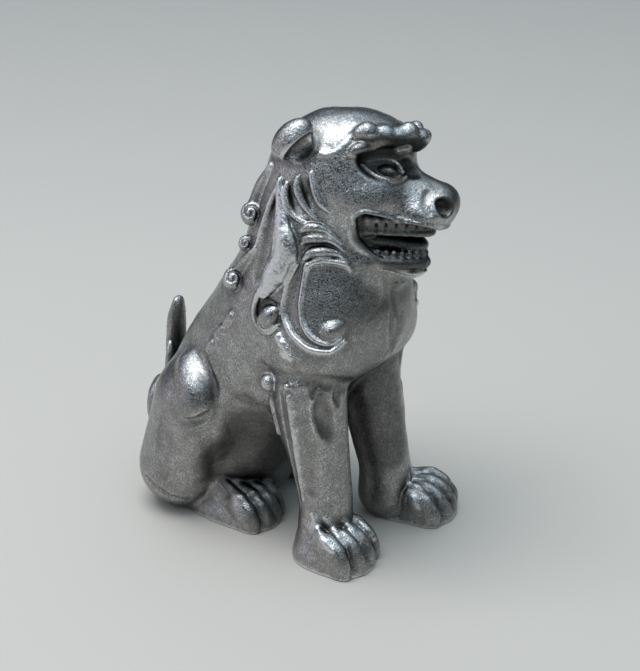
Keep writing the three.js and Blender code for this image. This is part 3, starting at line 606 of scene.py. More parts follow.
BROW_ROWS = [
    (2.2, 16.8, 8.6, 1.5), (4.2, 15.4, 10, 1.6), (6.4, 13, 10, 1.6), (8.3, 10, 10.2, 1.6),
    (9.6, 6.6, 10.6, 1.2),
]
BROW_LUMPS = [
    (9.3, 8.2, 11.1, 2), (7.4, 11.2, 10.7, 1.9), (5.6, 13.7, 10.3, 1.8), (4.2, 15.6, 11.3, 1.9),
    (2.4, 17.7, 10, 1.9),
]
LUMP_SHARES = {"right": 1, "left": 0.75}
LUMP_BLEND = 1.2
BROW_SHADE_DROP = 1.6
JAW = dict(rows=[(0, 2, -12, 8), (0, 9.4, -14.4, 6.6), (0, 17, -14.2, 4.4)], blend=3)
TONGUE = dict(blend=0.6, flat=HEAD_AXES[:, 2], thin=2, rows=[
    (0, 4, -10.2, 6), (0, 10, -10.7, 5.6), (0, 16, -11.6, 4.4),
])
UPPER_ARCH = dict(half=6.3, back=7.5, front=21, root=-6.2, tip=-8.8, radius=0.8)
LOWER_ARCH = dict(half=5.6, back=8, front=19.8, root=-15, tip=-13.1, radius=0.72)
ARCH_POWER = 0.75
ARCH_STEPS = 181
TEETH = 19
TOOTH_BLEND = 0.3
TEETH_ROW_BLEND = 0.6
TEETH_GROOVE = dict(radius=0.24, past=2, blend=0.2)
GUM = dict(radius=1.3, blend=0.8)
EAR = dict(at=(12, -6.1, 8.7), radii=(3, 5, 3.3), blend=0.6)
EAR_LONG_ANGLE = 48
EAR_ROOT = dict(rows=[(7, -4, 6, 3.4), (11.8, -5.8, 8.4, 2.7)], blend=0.8)
# The ear hollow and the nostrils are darkened by painted shade
EAR_HOLLOW = dict(drop=2.9, outward=0.8, radii=(2.7, 4.2, 2.4), blend=0.3, painted_shade=0.12)
NOSTRIL = dict(pixel=(445.5, 207.5), depth=0.5, radii=(1.2, 2.5, 1.8), blend=0.5, painted_shade=0.5)
MOUTH_AHEAD = 32
MOUTH_HALF = 14
MOUTH_BLEND = 0.4

# Lines of the face
LIP_RADIUS = 0.42
LIPS = {
    "head": [
        (354, 224), (354, 219), (357, 215), (365, 212), (378.5, 214.6), (396.3, 218.7), (414, 223),
        (432, 226.5), (441.6, 228.3), (452, 224),
    ],
    "lower_jaw": [
        (354, 226), (354, 233), (356.5, 241.4), (364.7, 249.6), (375.7, 257.8), (386.7, 264.7),
        (400.4, 270.9), (412.7, 273.6), (421, 271.6),
    ],
}
LIP_BLEND = 0.6
# The tear, lid and fold lines are darkened with painted shade around the eyes
FACE_LINES = {
    "tear": Line("head", (1.2, 1.8, 1.2), blend=1, lift=0.6, gouge=True, stain_and_shade=SOCKET_PAINTED_SHADE, runs=[
        [(399, 165), (408, 168), (414, 172)],
    ]),
    "eyelid fold": Line("head", (0.5, 1.1, 1.3, 1.1, 0.5), blend=0.5, stain_and_shade=FOLD_PAINTED_SHADE, runs=[
        [(350, 154), (357, 149), (368, 146), (380, 142), (389, 140)],
    ]),
    "nose fold": Line("head", (0.4, 0.8, 0.5), blend=0.5, stain_and_shade=FOLD_PAINTED_SHADE, runs=[
        [(399, 150), (407, 147), (414, 143)],
    ]),
    "upper lid": Line("head", 0.45, blend=0.25, lift=-0.3, stain_and_shade=LID_PAINTED_SHADE, runs=[
        [(362, 165), (370, 161.5), (380, 160), (391, 161), (399, 165), (404, 172)],
    ]),
    "lower lid": Line("head", 0.45, blend=0.25, stain_and_shade=LID_PAINTED_SHADE, runs=[
        [(362, 165), (369, 171), (379, 177), (391, 181), (400, 180.5), (406, 177)],
    ]),
    "nose crease": Line("head", 0.6, blend=0.8, lift=0.4, gouge=True, runs=[
        [(427.4, 193.3), (424.5, 204.8), (428.9, 213.5)],
    ]),
    "temple": Line("head", 0.35, blend=1.2, lift=-0.2, runs=[
        [(319.5, 153.6), (332, 153.6), (343, 145), (351, 136)],
    ]),
}


def head_local(points):
    """Places as (x, forward, z) on the head."""
    return (points - HEAD_ORIGIN) @ HEAD_AXES * (1, -1, 1)


def draw(clay, line, mirror=body_mirror):
    """Draws a line on the figure's right side and repeats it on the left."""
    for pixels in line.runs:
        places, outward, widths = clay.drawn(pixels, line.radii)
        for word in SIDES:
            if word == "left":
                places, outward = clay.laid(mirror(places))
            shape = clay.stroke(places + line.lift * outward, widths, outward, line.thin)
            if line.gouge:
                clay.cut(shape, line.blend)
            else:
                clay.add(shape, NUMBER[line.part.format(word)], line.blend)
            clay.stain_and_shade(shape, line.stain_and_shade)


def shape_skull(clay):
    press(clay, "head", SKULL, where=HEAD)
    # A painted sheen on the face, partly rubbed bright metal
    clay.stain_and_shade(form_of(clay, FACE, where=HEAD), FACE_RUB_AND_SHEEN, SOFT_REACH)
    press(clay, "head", FOREHEAD, where=HEAD)
    press(clay, "head", MUZZLE, where=HEAD)
    for side in SIDES.values():
        press(clay, "head", CHEEK, side, HEAD)
        press(clay, "head", LIP_PAD, side, HEAD)
    press(clay, "head", NOSE, where=HEAD)
    press(clay, "lower_jaw", JAW, where=HEAD)
    for side in SIDES.values():
        press(clay, "head", NOSE_WING, side, HEAD)
        # The sockets carry painted shade under the brow
        carve(clay, form_of(clay, SOCKET, side, HEAD), SOCKET["blend"], SOCKET_PAINTED_SHADE)
        press(clay, "head", EYE, side, HEAD)


def shape_mouth(clay):
    above, below = (head_local(clay.drawn(line, LIP_RADIUS)[0])[:, 1:] for line in LIPS.values())
    ahead = [(MOUTH_AHEAD, above[-1, 1]), (MOUTH_AHEAD, below[-1, 1])]
    outline = np.vstack([above, ahead, below[::-1]])
    # The carved mouth is darkened with painted shade inside
    carve(clay, clay.prism(outline, HEAD_ORIGIN, HEAD_AXES, MOUTH_HALF), MOUTH_BLEND, MOUTH_PAINTED_SHADE)
    press(clay, "lower_jaw", TONGUE, where=HEAD)
    for part, line in LIPS.items():
        draw(clay, Line(part, LIP_RADIUS, LIP_BLEND, [line]), head_mirror)


def arch_spots(arch, z):
    """Places of the teeth, at even steps along a dental arch."""
    angles = np.radians(np.linspace(-90, 90, ARCH_STEPS))
    x = arch["half"] * np.sin(angles)
    forward = arch["back"] + (arch["front"] - arch["back"]) * np.clip(np.cos(angles), 0, 1) ** ARCH_POWER
    length = np.concatenate([[0], np.cumsum(np.hypot(np.diff(x), np.diff(forward)))])
    steps = np.linspace(0, length[-1], TEETH)
    return np.array([head_spot(np.interp(s, length, x), np.interp(s, length, forward), z) for s in steps])


def shape_teeth(clay):
    """The upper teeth are a band with grooves, and the lower ones stand apart."""
    down = -HEAD_AXES[:, 2]
    for part, arch in (("head", UPPER_ARCH), ("lower_jaw", LOWER_ARCH)):
        number = NUMBER[part]
        radius = arch["radius"]
        roots, tips = arch_spots(arch, arch["root"]), arch_spots(arch, arch["tip"])
        clay.add(clay.stroke(roots, GUM["radius"]), number, GUM["blend"])
        if arch is LOWER_ARCH:
            for root, tip in zip(roots, tips):
                clay.add(clay.stroke([root, tip], radius), number, TOOTH_BLEND)
            continue
        clay.add(clay.stroke((roots + tips) / 2, radius), number, TEETH_ROW_BLEND)
        clay.add(clay.stroke(tips, radius), number, TEETH_ROW_BLEND)
        middle = np.mean(tips, axis=0)
        for root, tip in zip(roots, tips):
            groove = np.array([root, tip + TEETH_GROOVE["past"] * down]) + radius * unit(tip - middle)
            carve(clay, clay.stroke(groove, TEETH_GROOVE["radius"]), TEETH_GROOVE["blend"])


def shape_face(clay):
    drop = BROW_SHADE_DROP * (HEAD_AXES[:, 1] + HEAD_AXES[:, 2])
    for word, side in SIDES.items():
        points, widths = stations(BROW_ROWS, head_spot, side)
        clay.add(clay.stroke(points, widths), NUMBER["head"], BROW_BLEND)
        for x, forward, z, radius in BROW_LUMPS:
            radii = (radius * LUMP_SHARES[word],) * 3
            clay.add(clay.ball(head_spot(side * x, forward, z), radii), NUMBER["head"], LUMP_BLEND)
        # Painted shade and painted dark reflection along the brow's lower front
        clay.stain_and_shade(clay.stroke(points - drop, widths), BROW_PAINTED_SHADE)
    for line in FACE_LINES.values():
        draw(clay, line, head_mirror)
    places, outward, _ = clay.drawn([NOSTRIL["pixel"]] * 2, 1)
    places = places[:1] - NOSTRIL["depth"] * outward[:1]
    # Darkens the nose ball
    clay.stain_and_shade(form_of(clay, NOSE, where=HEAD), NOSE_DARKENING, SOFT_REACH)
    for place in (places[0], head_mirror(places)[0]):
        # The nostrils are darkened by painted shade
        carve(clay, clay.ball(place, NOSTRIL["radii"], HEAD_AXES), NOSTRIL["blend"], NOSTRIL["painted_shade"])


def shape_ears(clay):
    tilt = HEAD_AXES @ turning("x", -EAR_LONG_ANGLE)
    for word, side in SIDES.items():
        press(clay, f"{word}_ear", EAR_ROOT, side, HEAD)
        press(clay, f"{word}_ear", EAR, side, (head_spot, tilt))
        x, forward, z = EAR["at"]
        centre = head_spot(side * x, forward, z) - EAR_HOLLOW["drop"] * tilt[:, 2]
        centre = centre + side * EAR_HOLLOW["outward"] * tilt[:, 0]
        hollow = clay.ball(centre, EAR_HOLLOW["radii"], tilt)
        # The ear hollow is darkened by painted shade
        carve(clay, hollow, EAR_HOLLOW["blend"], EAR_HOLLOW["painted_shade"])


# Lines of the mane
MANE_LINES = {
    "lock valley": Line("{}_mane_lock", 1.3, blend=1.5, lift=0.7, gouge=True, runs=[
        [(277, 200), (272, 225), (266, 250), (260, 278)],
    ]),
    "lock ridge": Line("{}_mane_lock", (0.4, 0.7, 0.7, 0.6, 0.3), blend=0.6, runs=[
        [(281, 179), (275, 193), (269, 208), (263, 226), (256, 246)],
    ]),
    # The lock and its edge are rubbed bright: partly wear, partly a painted highlight
    "lock": Line(
        "{}_mane_lock", (0.5, 0.9, 1.7, 2.5, 2.6, 2.1, 1.2), blend=0.8, lift=0.5, stain_and_shade=LOCK_RUB_AND_HIGHLIGHT, thin=1.7,
        runs=[[(281, 181), (281.5, 203), (283.5, 226), (286.5, 247), (284, 262), (275, 278), (265, 293)]],
    ),
    "lock edge": Line("{}_mane_lock", (0.3, 0.5, 0.6, 0.6, 0.4), blend=0.3, lift=0.5, stain_and_shade=LOCK_RUB_AND_HIGHLIGHT, runs=[
        [(281, 184), (279, 223), (275, 255), (269, 272), (259, 295)],
    ]),
    "lock knob": Line("{}_mane_lock", (1.5, 2.1, 2), blend=0.3, lift=0.2, runs=[
        [(275, 311), (271, 315), (268, 320)],
    ]),
    "lock hook": Line("{}_mane_lock", (0.3, 0.6, 0.75, 0.85, 0.9, 0.9, 0.5), blend=0.4, lift=0.3, runs=[
        [(263, 282), (259.5, 294), (256, 307), (257, 318), (262, 327.5), (270, 331.5), (278, 326)],
    ]),
    "lock groove": Line(
        "{}_mane_lock", (0.4, 0.65, 0.65, 0.4), blend=0.3, lift=0.3, gouge=True, stain_and_shade=HOLLOW_GRIME,
        runs=[[(260, 307), (264, 303), (270, 301.5), (276, 304)]],
    ),
    "strand gaps": Line("head", (0.7, 1.2, 1.1, 0.6), blend=0.6, lift=0.35, gouge=True, runs=[
        [(291, 186), (292.5, 194), (297, 204), (304, 213)],
        [(304, 180), (306, 189), (311, 199), (318, 209)],
    ]),
    "strands": Line("head", (0.5, 0.9, 0.9, 0.6, 0.3), blend=0.4, runs=[
        [(287, 184), (286, 195), (289, 208), (297, 218), (306, 224)],
        [(298, 177), (297.5, 187), (302, 200), (308, 210), (316, 219)],
        [(311, 173), (315, 190), (321, 203), (325, 208), (329, 212)],
    ]),
    "tuft gaps": Line("{}_cheek_tuft", (0.3, 0.5, 0.5, 0.4, 0.25), blend=0.4, lift=0.25, gouge=True, runs=[
        [(300, 238), (307, 234), (317, 233), (328, 236), (338, 244)],
        [(302, 251.5), (309, 246.5), (320, 245), (332, 247.5), (342, 254)],
        [(306, 263), (313, 258.5), (326, 256.5), (338, 259), (346, 264)],
    ]),
    "crescents": Line("{}_cheek_tuft", (0.4, 1, 1.1, 0.7, 0.3), blend=0.25, runs=[
        [(301, 232), (307, 228), (316, 227.5), (327, 231), (341, 243)],
        [(301, 244), (307, 239), (318, 238), (331, 240.5), (343, 250)],
        [(304, 259), (311, 253), (325, 251.5), (338, 254), (347, 261)],
    ]),
    "scroll band": Line("{}_chest_curl", np.linspace(2.25, 1.95, 9), blend=0.6, lift=1.85, gouge=True, runs=[
        [(300, 270), (296, 284), (293, 298), (291.5, 311), (295, 326), (302, 337), (312, 345), (324, 348),
         (333, 347)],
    ]),
    "scroll rim": Line("{}_chest_curl", (0.3, 0.6, 0.7, 0.7, 0.5), blend=0.4, runs=[
        [(350, 270), (345, 264), (328, 260.7), (315, 261.5), (306, 267.5)],
    ]),
    "scroll outer edge": Line("{}_chest_curl", (0.4, *(0.55,) * 11, 0.4), blend=0.5, runs=[
        [(297.4, 264), (290, 277), (285.5, 290), (283, 303), (283.4, 315), (286.7, 325), (292, 335),
         (298.6, 341.6), (307, 348), (315.3, 351), (324, 352), (332, 351), (344, 341.6)],
    ]),
    "scroll inner edge": Line("{}_chest_curl", 0.5, blend=0.5, runs=[
        [(307, 265), (304, 279), (302, 294), (300.6, 304), (301, 313), (302.6, 322), (305.8, 329.6),
         (310, 336), (315.3, 340.4), (321, 343), (327.3, 344), (333, 342.6), (339, 338)],
    ]),
    "scroll knob": Line("{}_chest_curl", (1.2, 1.8, 1.2), blend=0.8, lift=-0.6, runs=[
        [(326, 334.5), (332, 331), (339, 326.5)],
    ]),
    "upper nape lock": Line("{}_nape_curl_1", (0.8, 1.5, 1.8), blend=0.8, runs=[
        [(271, 166), (263, 185), (256, 205)],
    ]),
    "lower nape lock": Line("{}_nape_curl_3", (0.5, 1.2, 1.6), blend=0.8, runs=[
        [(256, 248), (248, 258), (240, 270)],
    ]),
}

# Nape curls: pixel and radius of each. Sizes of the spiral are shares of the radius
NAPE_CURLS = [((254, 214), 2.5), ((247.5, 243.5), 1.7), ((236, 279), 2.4)]
CURL_STEPS = 22
CURL_TURNS = np.radians(np.linspace(-40, 380, CURL_STEPS))
CURL_SPREADS = np.linspace(0.78, 0.18, CURL_STEPS)
CURL_THICK = 0.75
CURL_GROOVE = 0.15
CURL_GROOVE_BLEND = 0.2
CURL_BLEND = 0.4
CURL_BED_SHARE = 0.4
CURL_LIFT = 0.4


def add_curl(clay, part, pixel, radius):
    """A round curl with a spiral groove. It faces the camera's side more than its bed does."""
    places, outward, _ = clay.drawn([pixel, pixel], radius)
    for word, side in SIDES.items():
        if word == "left":
            places, outward = clay.laid(body_mirror(places))
        facing = unit(CURL_BED_SHARE * outward[0] + CAMERA_BACK * (-side, 1, 1))
        across = unit(np.cross((0, 0, 1), facing))
        axes = np.stack([across, np.cross(facing, across), facing], 1)
        centre = places[0] + CURL_LIFT * radius * facing
        disc = clay.ball(centre, (radius, radius, CURL_THICK * radius), axes)
        clay.add(disc, NUMBER[part.format(word)], CURL_BLEND)
        spread = CURL_SPREADS * radius
        rise = CURL_THICK * np.sqrt(radius**2 - spread**2)
        groove = np.stack([-side * spread * np.cos(CURL_TURNS), spread * np.sin(CURL_TURNS), rise], 1)
        clay.cut(clay.stroke(centre + groove @ axes.T, CURL_GROOVE * radius), CURL_GROOVE_BLEND)


def shape_mane(clay):
    for line in MANE_LINES.values():
        draw(clay, line)
    for n, (pixel, radius) in enumerate(NAPE_CURLS, 1):
        add_curl(clay, f"{{}}_nape_curl_{n}", pixel, radius)


# Lines of the body
BODY_LINES = {
    "shoulder crease": Line("torso", (0.3, 0.8, 0.8, 0.8, 0.8, 0.4), blend=2, lift=0.5, gouge=True, runs=[
        [(262, 365), (278, 377), (300, 380), (330, 383), (352, 385), (365, 378)],
    ]),
    "ribs": Line("torso", (1.1, 0.8), blend=0.8, lift=-0.3, runs=[
        [(231, 316), (226, 323)],
        [(222, 329), (217, 336)],
        [(213, 343), (208, 350)],
    ]),
    "chest groove": Line("torso", (0.5, 0.9, 0.9, 0.4), blend=0.8, lift=0.4, gouge=True, runs=[
        [(394, 285), (394, 310), (393, 335), (391, 358)],
    ]),
    "knee": Line("{}_hindleg", (4, 4.4, 4.7, 4.8), blend=1, lift=-2.6, runs=[
        [(187, 362), (190, 375), (194, 390), (196, 403)],
    ]),
    "haunch crease": Line("{}_hindleg", (0.3, 0.5, 0.5, 0.3), blend=1, lift=0.3, gouge=True, runs=[
        [(206, 360), (211, 373), (215, 386), (216, 396)],
    ]),
    "knee brim": Line("{}_hindleg", (0.5, 1.4, 1.7, 1.7, 1.4, 0.5), blend=0.4, lift=1.5, gouge=True, runs=[
        [(170, 404), (175, 415), (186, 422.5), (197, 421), (206, 416), (212, 409)],
    ]),
    "shin": Line("{}_hindleg", (3, 3.4, 3), blend=1.5, lift=-2.4, runs=[
        [(190, 428), (193, 450), (199, 474)],
    ]),
    "shin valley": Line("{}_hindleg", (1.8, 2.2, 1.8), blend=1.5, lift=1.6, gouge=True, runs=[
        [(166, 418), (163, 445), (161, 472)],
    ]),
    "heel break": Line("{}_hindleg", (0.3, 0.5, 0.5, 0.3), blend=0.8, lift=0.3, gouge=True, runs=[
        [(146, 476), (158, 488), (172, 497), (188, 500)],
    ]),
    # The paw crests are rubbed bright: partly wear, partly a painted highlight
    "long crest": Line("{}_foreleg", (0.4, 0.75, 0.75, 0.5), blend=0.7, lift=-0.1, stain_and_shade=CREST_RUB_AND_HIGHLIGHT, runs=[
        [(313, 516), (318, 530), (324, 541), (332, 550)],
    ]),
    "toe crests": Line("{}_foreleg", (0.4, 0.75, 0.5), blend=0.7, lift=-0.1, stain_and_shade=CREST_RUB_AND_HIGHLIGHT, runs=[
        [(326, 518), (334, 531), (344, 545)],
        [(344, 521), (352, 531), (358, 541)],
        [(360, 523), (367, 530), (372, 538)],
    ]),
}
# Spots of painted shade on the belly between the legs and on the far foreleg, where the body's shadow falls
SHADE_SPOTS = [
    (250, 428), (262, 440), (272, 452), (282, 446), (224, 460), (238, 464), (240, 448), (254, 464),
    (371, 378), (376, 400), (381, 422), (385, 444),
]
SHADE_RADII = (5, 5, 5)
ELBOW_LINES = {
    "elbow knob": Line("{}_foreleg", 2, blend=0.6, lift=0.4, stain_and_shade=CREST_RUB_AND_HIGHLIGHT, runs=[[(271, 381)] * 2]),
    "elbow spot": Line("{}_foreleg", 0.8, blend=0.4, runs=[[(287.5, 386.7)] * 2]),
}
ELBOW_LUMPS = [
    ((278.5, 337), 0.8), ((282, 344), 1), ((286, 350), 0.9), ((284, 355), 0.6), ((289, 357), 0.7),
]
# The elbow lumps are rubbed bright: partly wear, partly a painted highlight
for n, (pixel, radius) in enumerate(ELBOW_LUMPS):
    ELBOW_LINES[n] = Line("torso", radius, blend=0.6, lift=-0.3, stain_and_shade=LOCK_RUB_AND_HIGHLIGHT, runs=[[pixel] * 2])
HOLLOW = dict(blend=0.5, gouge=True, stain_and_shade=HOLLOW_GRIME)
LEG_LINES = {
    "fin edges": Line("{}_foreleg", (0.8, 0.8, 0.7, 0.4), blend=0.5, lift=-0.2, runs=[
        [(272, 402), (279, 432), (287, 462), (294, 500)],
        [(289, 398), (292, 420), (296, 450), (303, 500)],
    ]),
    "fin groove": Line("{}_foreleg", (0.3, 0.6, 0.6, 0.5, 0.3), blend=0.2, lift=0.1, gouge=True, runs=[
        [(281, 393), (285, 415), (290, 445), (296, 480), (301, 506)],
    ]),
    "leg valley": Line("{}_foreleg", (1.8, 2.1, 2.1, 1.8), blend=0.8, lift=1.3, gouge=True, runs=[
        [(304, 394), (305, 420), (308, 450), (312, 490)],
    ]),
    "upper hollow": Line("{}_foreleg", (0.9, 1.2, 1.2, 0.8), lift=0.4, **HOLLOW, runs=[
        [(313, 396), (314, 389), (319, 385), (325, 388)],
    ]),
    "inner hollow": Line("{}_foreleg", (0.8, 1.2, 0.7), lift=0.4, **HOLLOW, runs=[
        [(340, 386), (337, 395), (338, 404)],
    ]),
    "long hollow": Line("{}_foreleg", (1.9, 2.4, 2.2, 1.2), lift=1, **HOLLOW, runs=[
        [(321, 400), (322, 414), (325, 427), (329, 438)],
    ]),
}


def shape_body_lines(clay):
    for line in BODY_LINES.values():
        draw(clay, line)
    # Painted shade at the shade spots
    for pixel in SHADE_SPOTS:
        clay.stain_and_shade(clay.ball(clay.hit(pixel), SHADE_RADII), PAINTED_SHADE_TONE, SOFT_REACH)
    for line in [*ELBOW_LINES.values(), *LEG_LINES.values()]:
        draw(clay, line)


def sculpt(low, high, cell):
    """The whole figure. Lines of the photograph are drawn on the plain forms, before anything is carved."""
    clay = Clay(low, high, cell)
    shape_trunk(clay)
    shape_legs(clay)
    shape_tail(clay)
    head = Clay(low, high, cell)
    shape_skull(head)
    clay.frozen = head.frozen = smooth_min(clay.field, head.field, NECK_BLEND)
    shape_mouth(head)
    shape_teeth(head)
    clay.join(head, NECK_BLEND)
    shape_face(clay)
    shape_ears(clay)
    shape_mane(clay)
    shape_body_lines(clay)
    clay.field = np.maximum(clay.field, -clay.axes[2][None, None, :])
    return clay


# Skin
SNAP_ROUNDS = 2
LABEL_ROUNDS = 4
WALL_DEPTH = 0.5
CAP_DEPTHS = (0.6, 1.2, 2, 3, 4.5, 6, 8, 11, 14)
CAP_SHARES = (0.2, 0.4, 0.6, 0.8, 1)
SHADE_REACHES = (0.6, 1.4, 2.8, 8)
EDGE_REACH = 0.9
HIDDEN_CELL = 1
HIDDEN_START = 1.2
HIDDEN_STEPS = (1, 2.5, 5, 8, 12, 17, 23)
HIDDEN_RINGS = ((8, 8), (40, 6), (72, 3))
LATTICE = 48
UNEVEN = ((3.6, 0.05), (1.4, 0.022), (0.65, 0.01))
HAMMERED = 14
HAMMER_TONE = 0.18


def quad_facing(points, quads):
    a, b, c, d = (points[quads[:, i]] for i in range(4))
    return np.cross(c - a, d - b)


def skin_of(clay):
    """The clay's surface as points, outward normals and quads."""
    grid = openvdb.FloatGrid(FAR)
    grid.copyFromArray(clay.field)
    cells, quads = grid.convertToQuads(isovalue=0.0)
    points = clay.low + clay.cell * cells
    for _ in range(SNAP_ROUNDS):
        points = points - clay.sample(points)[:, None] * clay.normals(points, clay.cell)
    normals = clay.normals(points, clay.cell)
    facing = np.einsum("ij,ij->i", quad_facing(points, quads), normals[quads[:, 0]])
    if np.median(facing) < 0:
        quads = quads[:, ::-1]
    return points, normals, quads.astype(np.int64)


def lattice(points, size, seed):
    """Smooth noise with waves of about one size."""
    table = np.random.default_rng(seed).standard_normal((LATTICE,) * 3)
    place = points / size
    base = np.floor(place).astype(int)
    share = place - base
    return mixed(np.pad(table, (0, 1), "wrap"), base % LATTICE, share * share * (3 - 2 * share))


def worked(points, normals, quads, tone):
    """The skin and normals with the unevenness of hand-worked wax, rougher where it is rubbed most."""
    rough = 1 + HAMMERED * np.clip(-tone - HAMMER_TONE, 0, 1)
    rise = sum(height * lattice(points, size, n) for n, (size, height) in enumerate(UNEVEN)) * rough
    points = points + rise[:, None] * normals
    points[:, 2] = np.maximum(points[:, 2], 0)
    facing = quad_facing(points, quads)
    total = np.zeros_like(points)
    for corner in quads.T:
        for axis in range(3):
            total[:, axis] += np.bincount(corner, facing[:, axis], len(points))
    return points, unit_rows(total)


def settle(labels, quads, count, kinds):
    """Labels of quads after each takes the label that most of its neighbours have."""
    for _ in range(LABEL_ROUNDS):
        votes = np.zeros(count * kinds, np.int32)
        for corner in quads.T:
            votes += np.bincount(corner * kinds + labels, minlength=count * kinds).astype(np.int32)
        votes = votes.reshape(count, kinds)
        labels = sum(votes[corner] for corner in quads.T).argmax(1)
    return labels


def groups(count, a, b):
    """A number for each point that is shared by all points joined to it."""
    root = np.arange(count)
    while True:
        low = np.minimum(root[a], root[b])
        joined = root.copy()
        np.minimum.at(joined, root[a], low)
        np.minimum.at(joined, root[b], low)
        while not np.array_equal(joined, joined[joined]):
            joined = joined[joined]
        if np.array_equal(joined, root):
            return root
        root = joined


def hidden_of(clay, points, normals):
    """The share of the room's light that the figure itself keeps from each point."""
    every = max(round(HIDDEN_CELL / clay.cell), 1)
    solid = clay.field[::every, ::every, ::every] < 0
    blocked = np.zeros(len(points))
    total = np.zeros(len(points))
    starts = points + HIDDEN_START * normals - clay.low
    for elevation, count in HIDDEN_RINGS:
        for turn in np.radians(np.arange(count) * 360 / count):
            level, rise = math.cos(math.radians(elevation)), math.sin(math.radians(elevation))
            ray = np.array([level * math.cos(turn), level * math.sin(turn), rise])
            weight = normals @ ray
            seen = np.flatnonzero(weight > 0)
            stopped = np.zeros(len(seen), bool)
            for step in HIDDEN_STEPS:
                cells = np.rint((starts[seen] + step * ray) / (every * clay.cell)).astype(int)
                inside = np.all((cells >= 0) & (cells < solid.shape), axis=1)
                cells = np.where(inside[:, None], cells, 0)
                stopped |= inside & solid[tuple(cells.T)]
            blocked[seen] += weight[seen] * stopped
            total[seen] += weight[seen]
    return np.where(total > 0, blocked / np.maximum(total, TINY), 1)


def shade_of(clay, points, normals):
    """How shut in each point is, and how sharp the edge is that it lies on."""
    shut = np.zeros(len(points))
    for reach in SHADE_REACHES:
        room = clay.sample(points + reach * normals)
        shut += np.clip(1 - room / reach, 0, 1) / len(SHADE_REACHES)
    depth = clay.sample(points - EDGE_REACH * normals)
    return shut, np.clip(1 + depth / EDGE_REACH, 0, 1)


def hub_of(clay, rim, normals):
    """A place behind a seam, deep enough that lines from the seam to it stay inside the clay."""
    best, least = None, np.inf
    for depth in CAP_DEPTHS:
        hub = (rim - depth * normals).mean(0)
        proud = max(clay.sample(rim + share * (hub - rim)).max() for share in CAP_SHARES)
        if proud < least:
            best, least = hub, proud
    return best


def flat_normals(places, faces):
    a, b, c = (places[faces[:, i]] for i in range(3))
    return unit_rows(np.cross(b - a, c - a))


def shut_behind(clay, points, normals, faces):
    """All places of a piece of skin, the wall behind its rim, and the fans that shut it."""
    count = len(points)
    starts, ends = faces.ravel(), np.roll(faces, -1, axis=1).ravel()
    lone = ~np.isin(starts * count + ends, ends * count + starts)
    rim_a, rim_b = starts[lone], ends[lone]
    loops = groups(count, rim_a, rim_b)[rim_a]
    inner = np.unique(rim_a)
    sunk = np.zeros(count, int)
    sunk[inner] = count + np.arange(len(inner))
    walls = np.stack([rim_b, rim_a, sunk[rim_a], sunk[rim_b]], 1)
    behind = points - WALL_DEPTH * normals
    hubs, fans = [], []
    for n, loop in enumerate(np.unique(loops)):
        rim = loops == loop
        start = rim_a[rim]
        hubs.append(hub_of(clay, behind[start], normals[start]))
        number = np.full(len(start), count + len(inner) + n)
        fans.append(np.stack([sunk[rim_b[rim]], sunk[start], number], 1))
    return np.vstack([points, behind[inner], *hubs]), walls, np.vstack(fans)


def linked(name, data):
    """A new object in the scene."""
    thing = bpy.data.objects.new(name, data)
    bpy.context.scene.collection.objects.link(thing)
    return thing


def add_piece(clay, name, points, normals, quads, shades):
    """One casting's share of the skin, shut behind its seams, as an object that rides on the root body."""
    used, faces = np.unique(quads, return_inverse=True)
    faces = faces.reshape(quads.shape)
    places, walls, fans = shut_behind(clay, points[used], normals[used], faces)
    mesh = bpy.data.meshes.new(name)
    mesh.vertices.add(len(places))
    mesh.vertices.foreach_set("co", (places * MM).astype(np.float32).ravel())
    corners = np.concatenate([faces.ravel(), walls.ravel(), fans.ravel()])
    mesh.loops.add(len(corners))
    mesh.loops.foreach_set("vertex_index", corners.astype(np.int32))
    sizes = np.repeat([4, 3], [len(faces) + len(walls), len(fans)])
    mesh.polygons.add(len(sizes))
    mesh.polygons.foreach_set("loop_start", (np.cumsum(sizes) - sizes).astype(np.int32))
    mesh.update(calc_edges=True)
    mesh.shade_smooth()
    for word, values in shades.items():
        values = np.concatenate([values[used], np.ones(len(places) - len(used))])
        layer = mesh.attributes.new(word, "FLOAT", "POINT")
        layer.data.foreach_set("value", values.astype(np.float32))
    behind = [np.repeat(flat_normals(places, part), part.shape[1], axis=0) for part in (walls, fans)]
    mesh.normals_split_custom_set(np.vstack([normals[used][faces.ravel()], *behind]).tolist())
    piece = linked(name, mesh)
    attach(piece, "root")
    return piece


def dress(clay, material):
    points, normals, quads = skin_of(clay)
    nearest = np.rint((points[quads].mean(1) - clay.low) / clay.cell).astype(int)
    labels = clay.owner[tuple(nearest.T)].astype(np.int64)
    labels = settle(labels, quads, len(points), len(CASTINGS))
    # The shut measure feeds patina and painted shade into hollows; the edge measure feeds rubbed wear and
    # painted highlight
    shut, edge = shade_of(clay, points, normals)
    tone = clay.sample(points, clay.tone)
    # The hidden measure feeds painted shade where the figure keeps the room's light away
    hidden = hidden_of(clay, points, normals)
    shades = {"shut": shut, "edge": edge, "tone": tone, "hidden": hidden}
    points, normals = worked(points, normals, quads, tone)
    for name, number in NUMBER.items():
        piece = add_piece(clay, f"{name}_skin", points, normals, quads[labels == number], shades)
        piece.data.materials.append(material)
        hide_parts(name)


# Materials
GRAIN = dict(scale=4200, detail=2)
BLOTCH = dict(scale=330, detail=3)
WORM = dict(scale=2200, detail=1, twist=1.2)
MOTTLE = dict(scale=1500, detail=2)
WORM_STOPS = ((0.4, (0, 0, 0, 1)), (0.5, (1, 1, 1, 1)), (0.6, (0, 0, 0, 1)))
WORM_BUMP = dict(distance=0.00006, strength=0.38)
GRAIN_BUMP = dict(distance=0.00003, strength=0.3)
BLOTCH_WEIGHT = 0.3
WORM_WEIGHT = -0.3
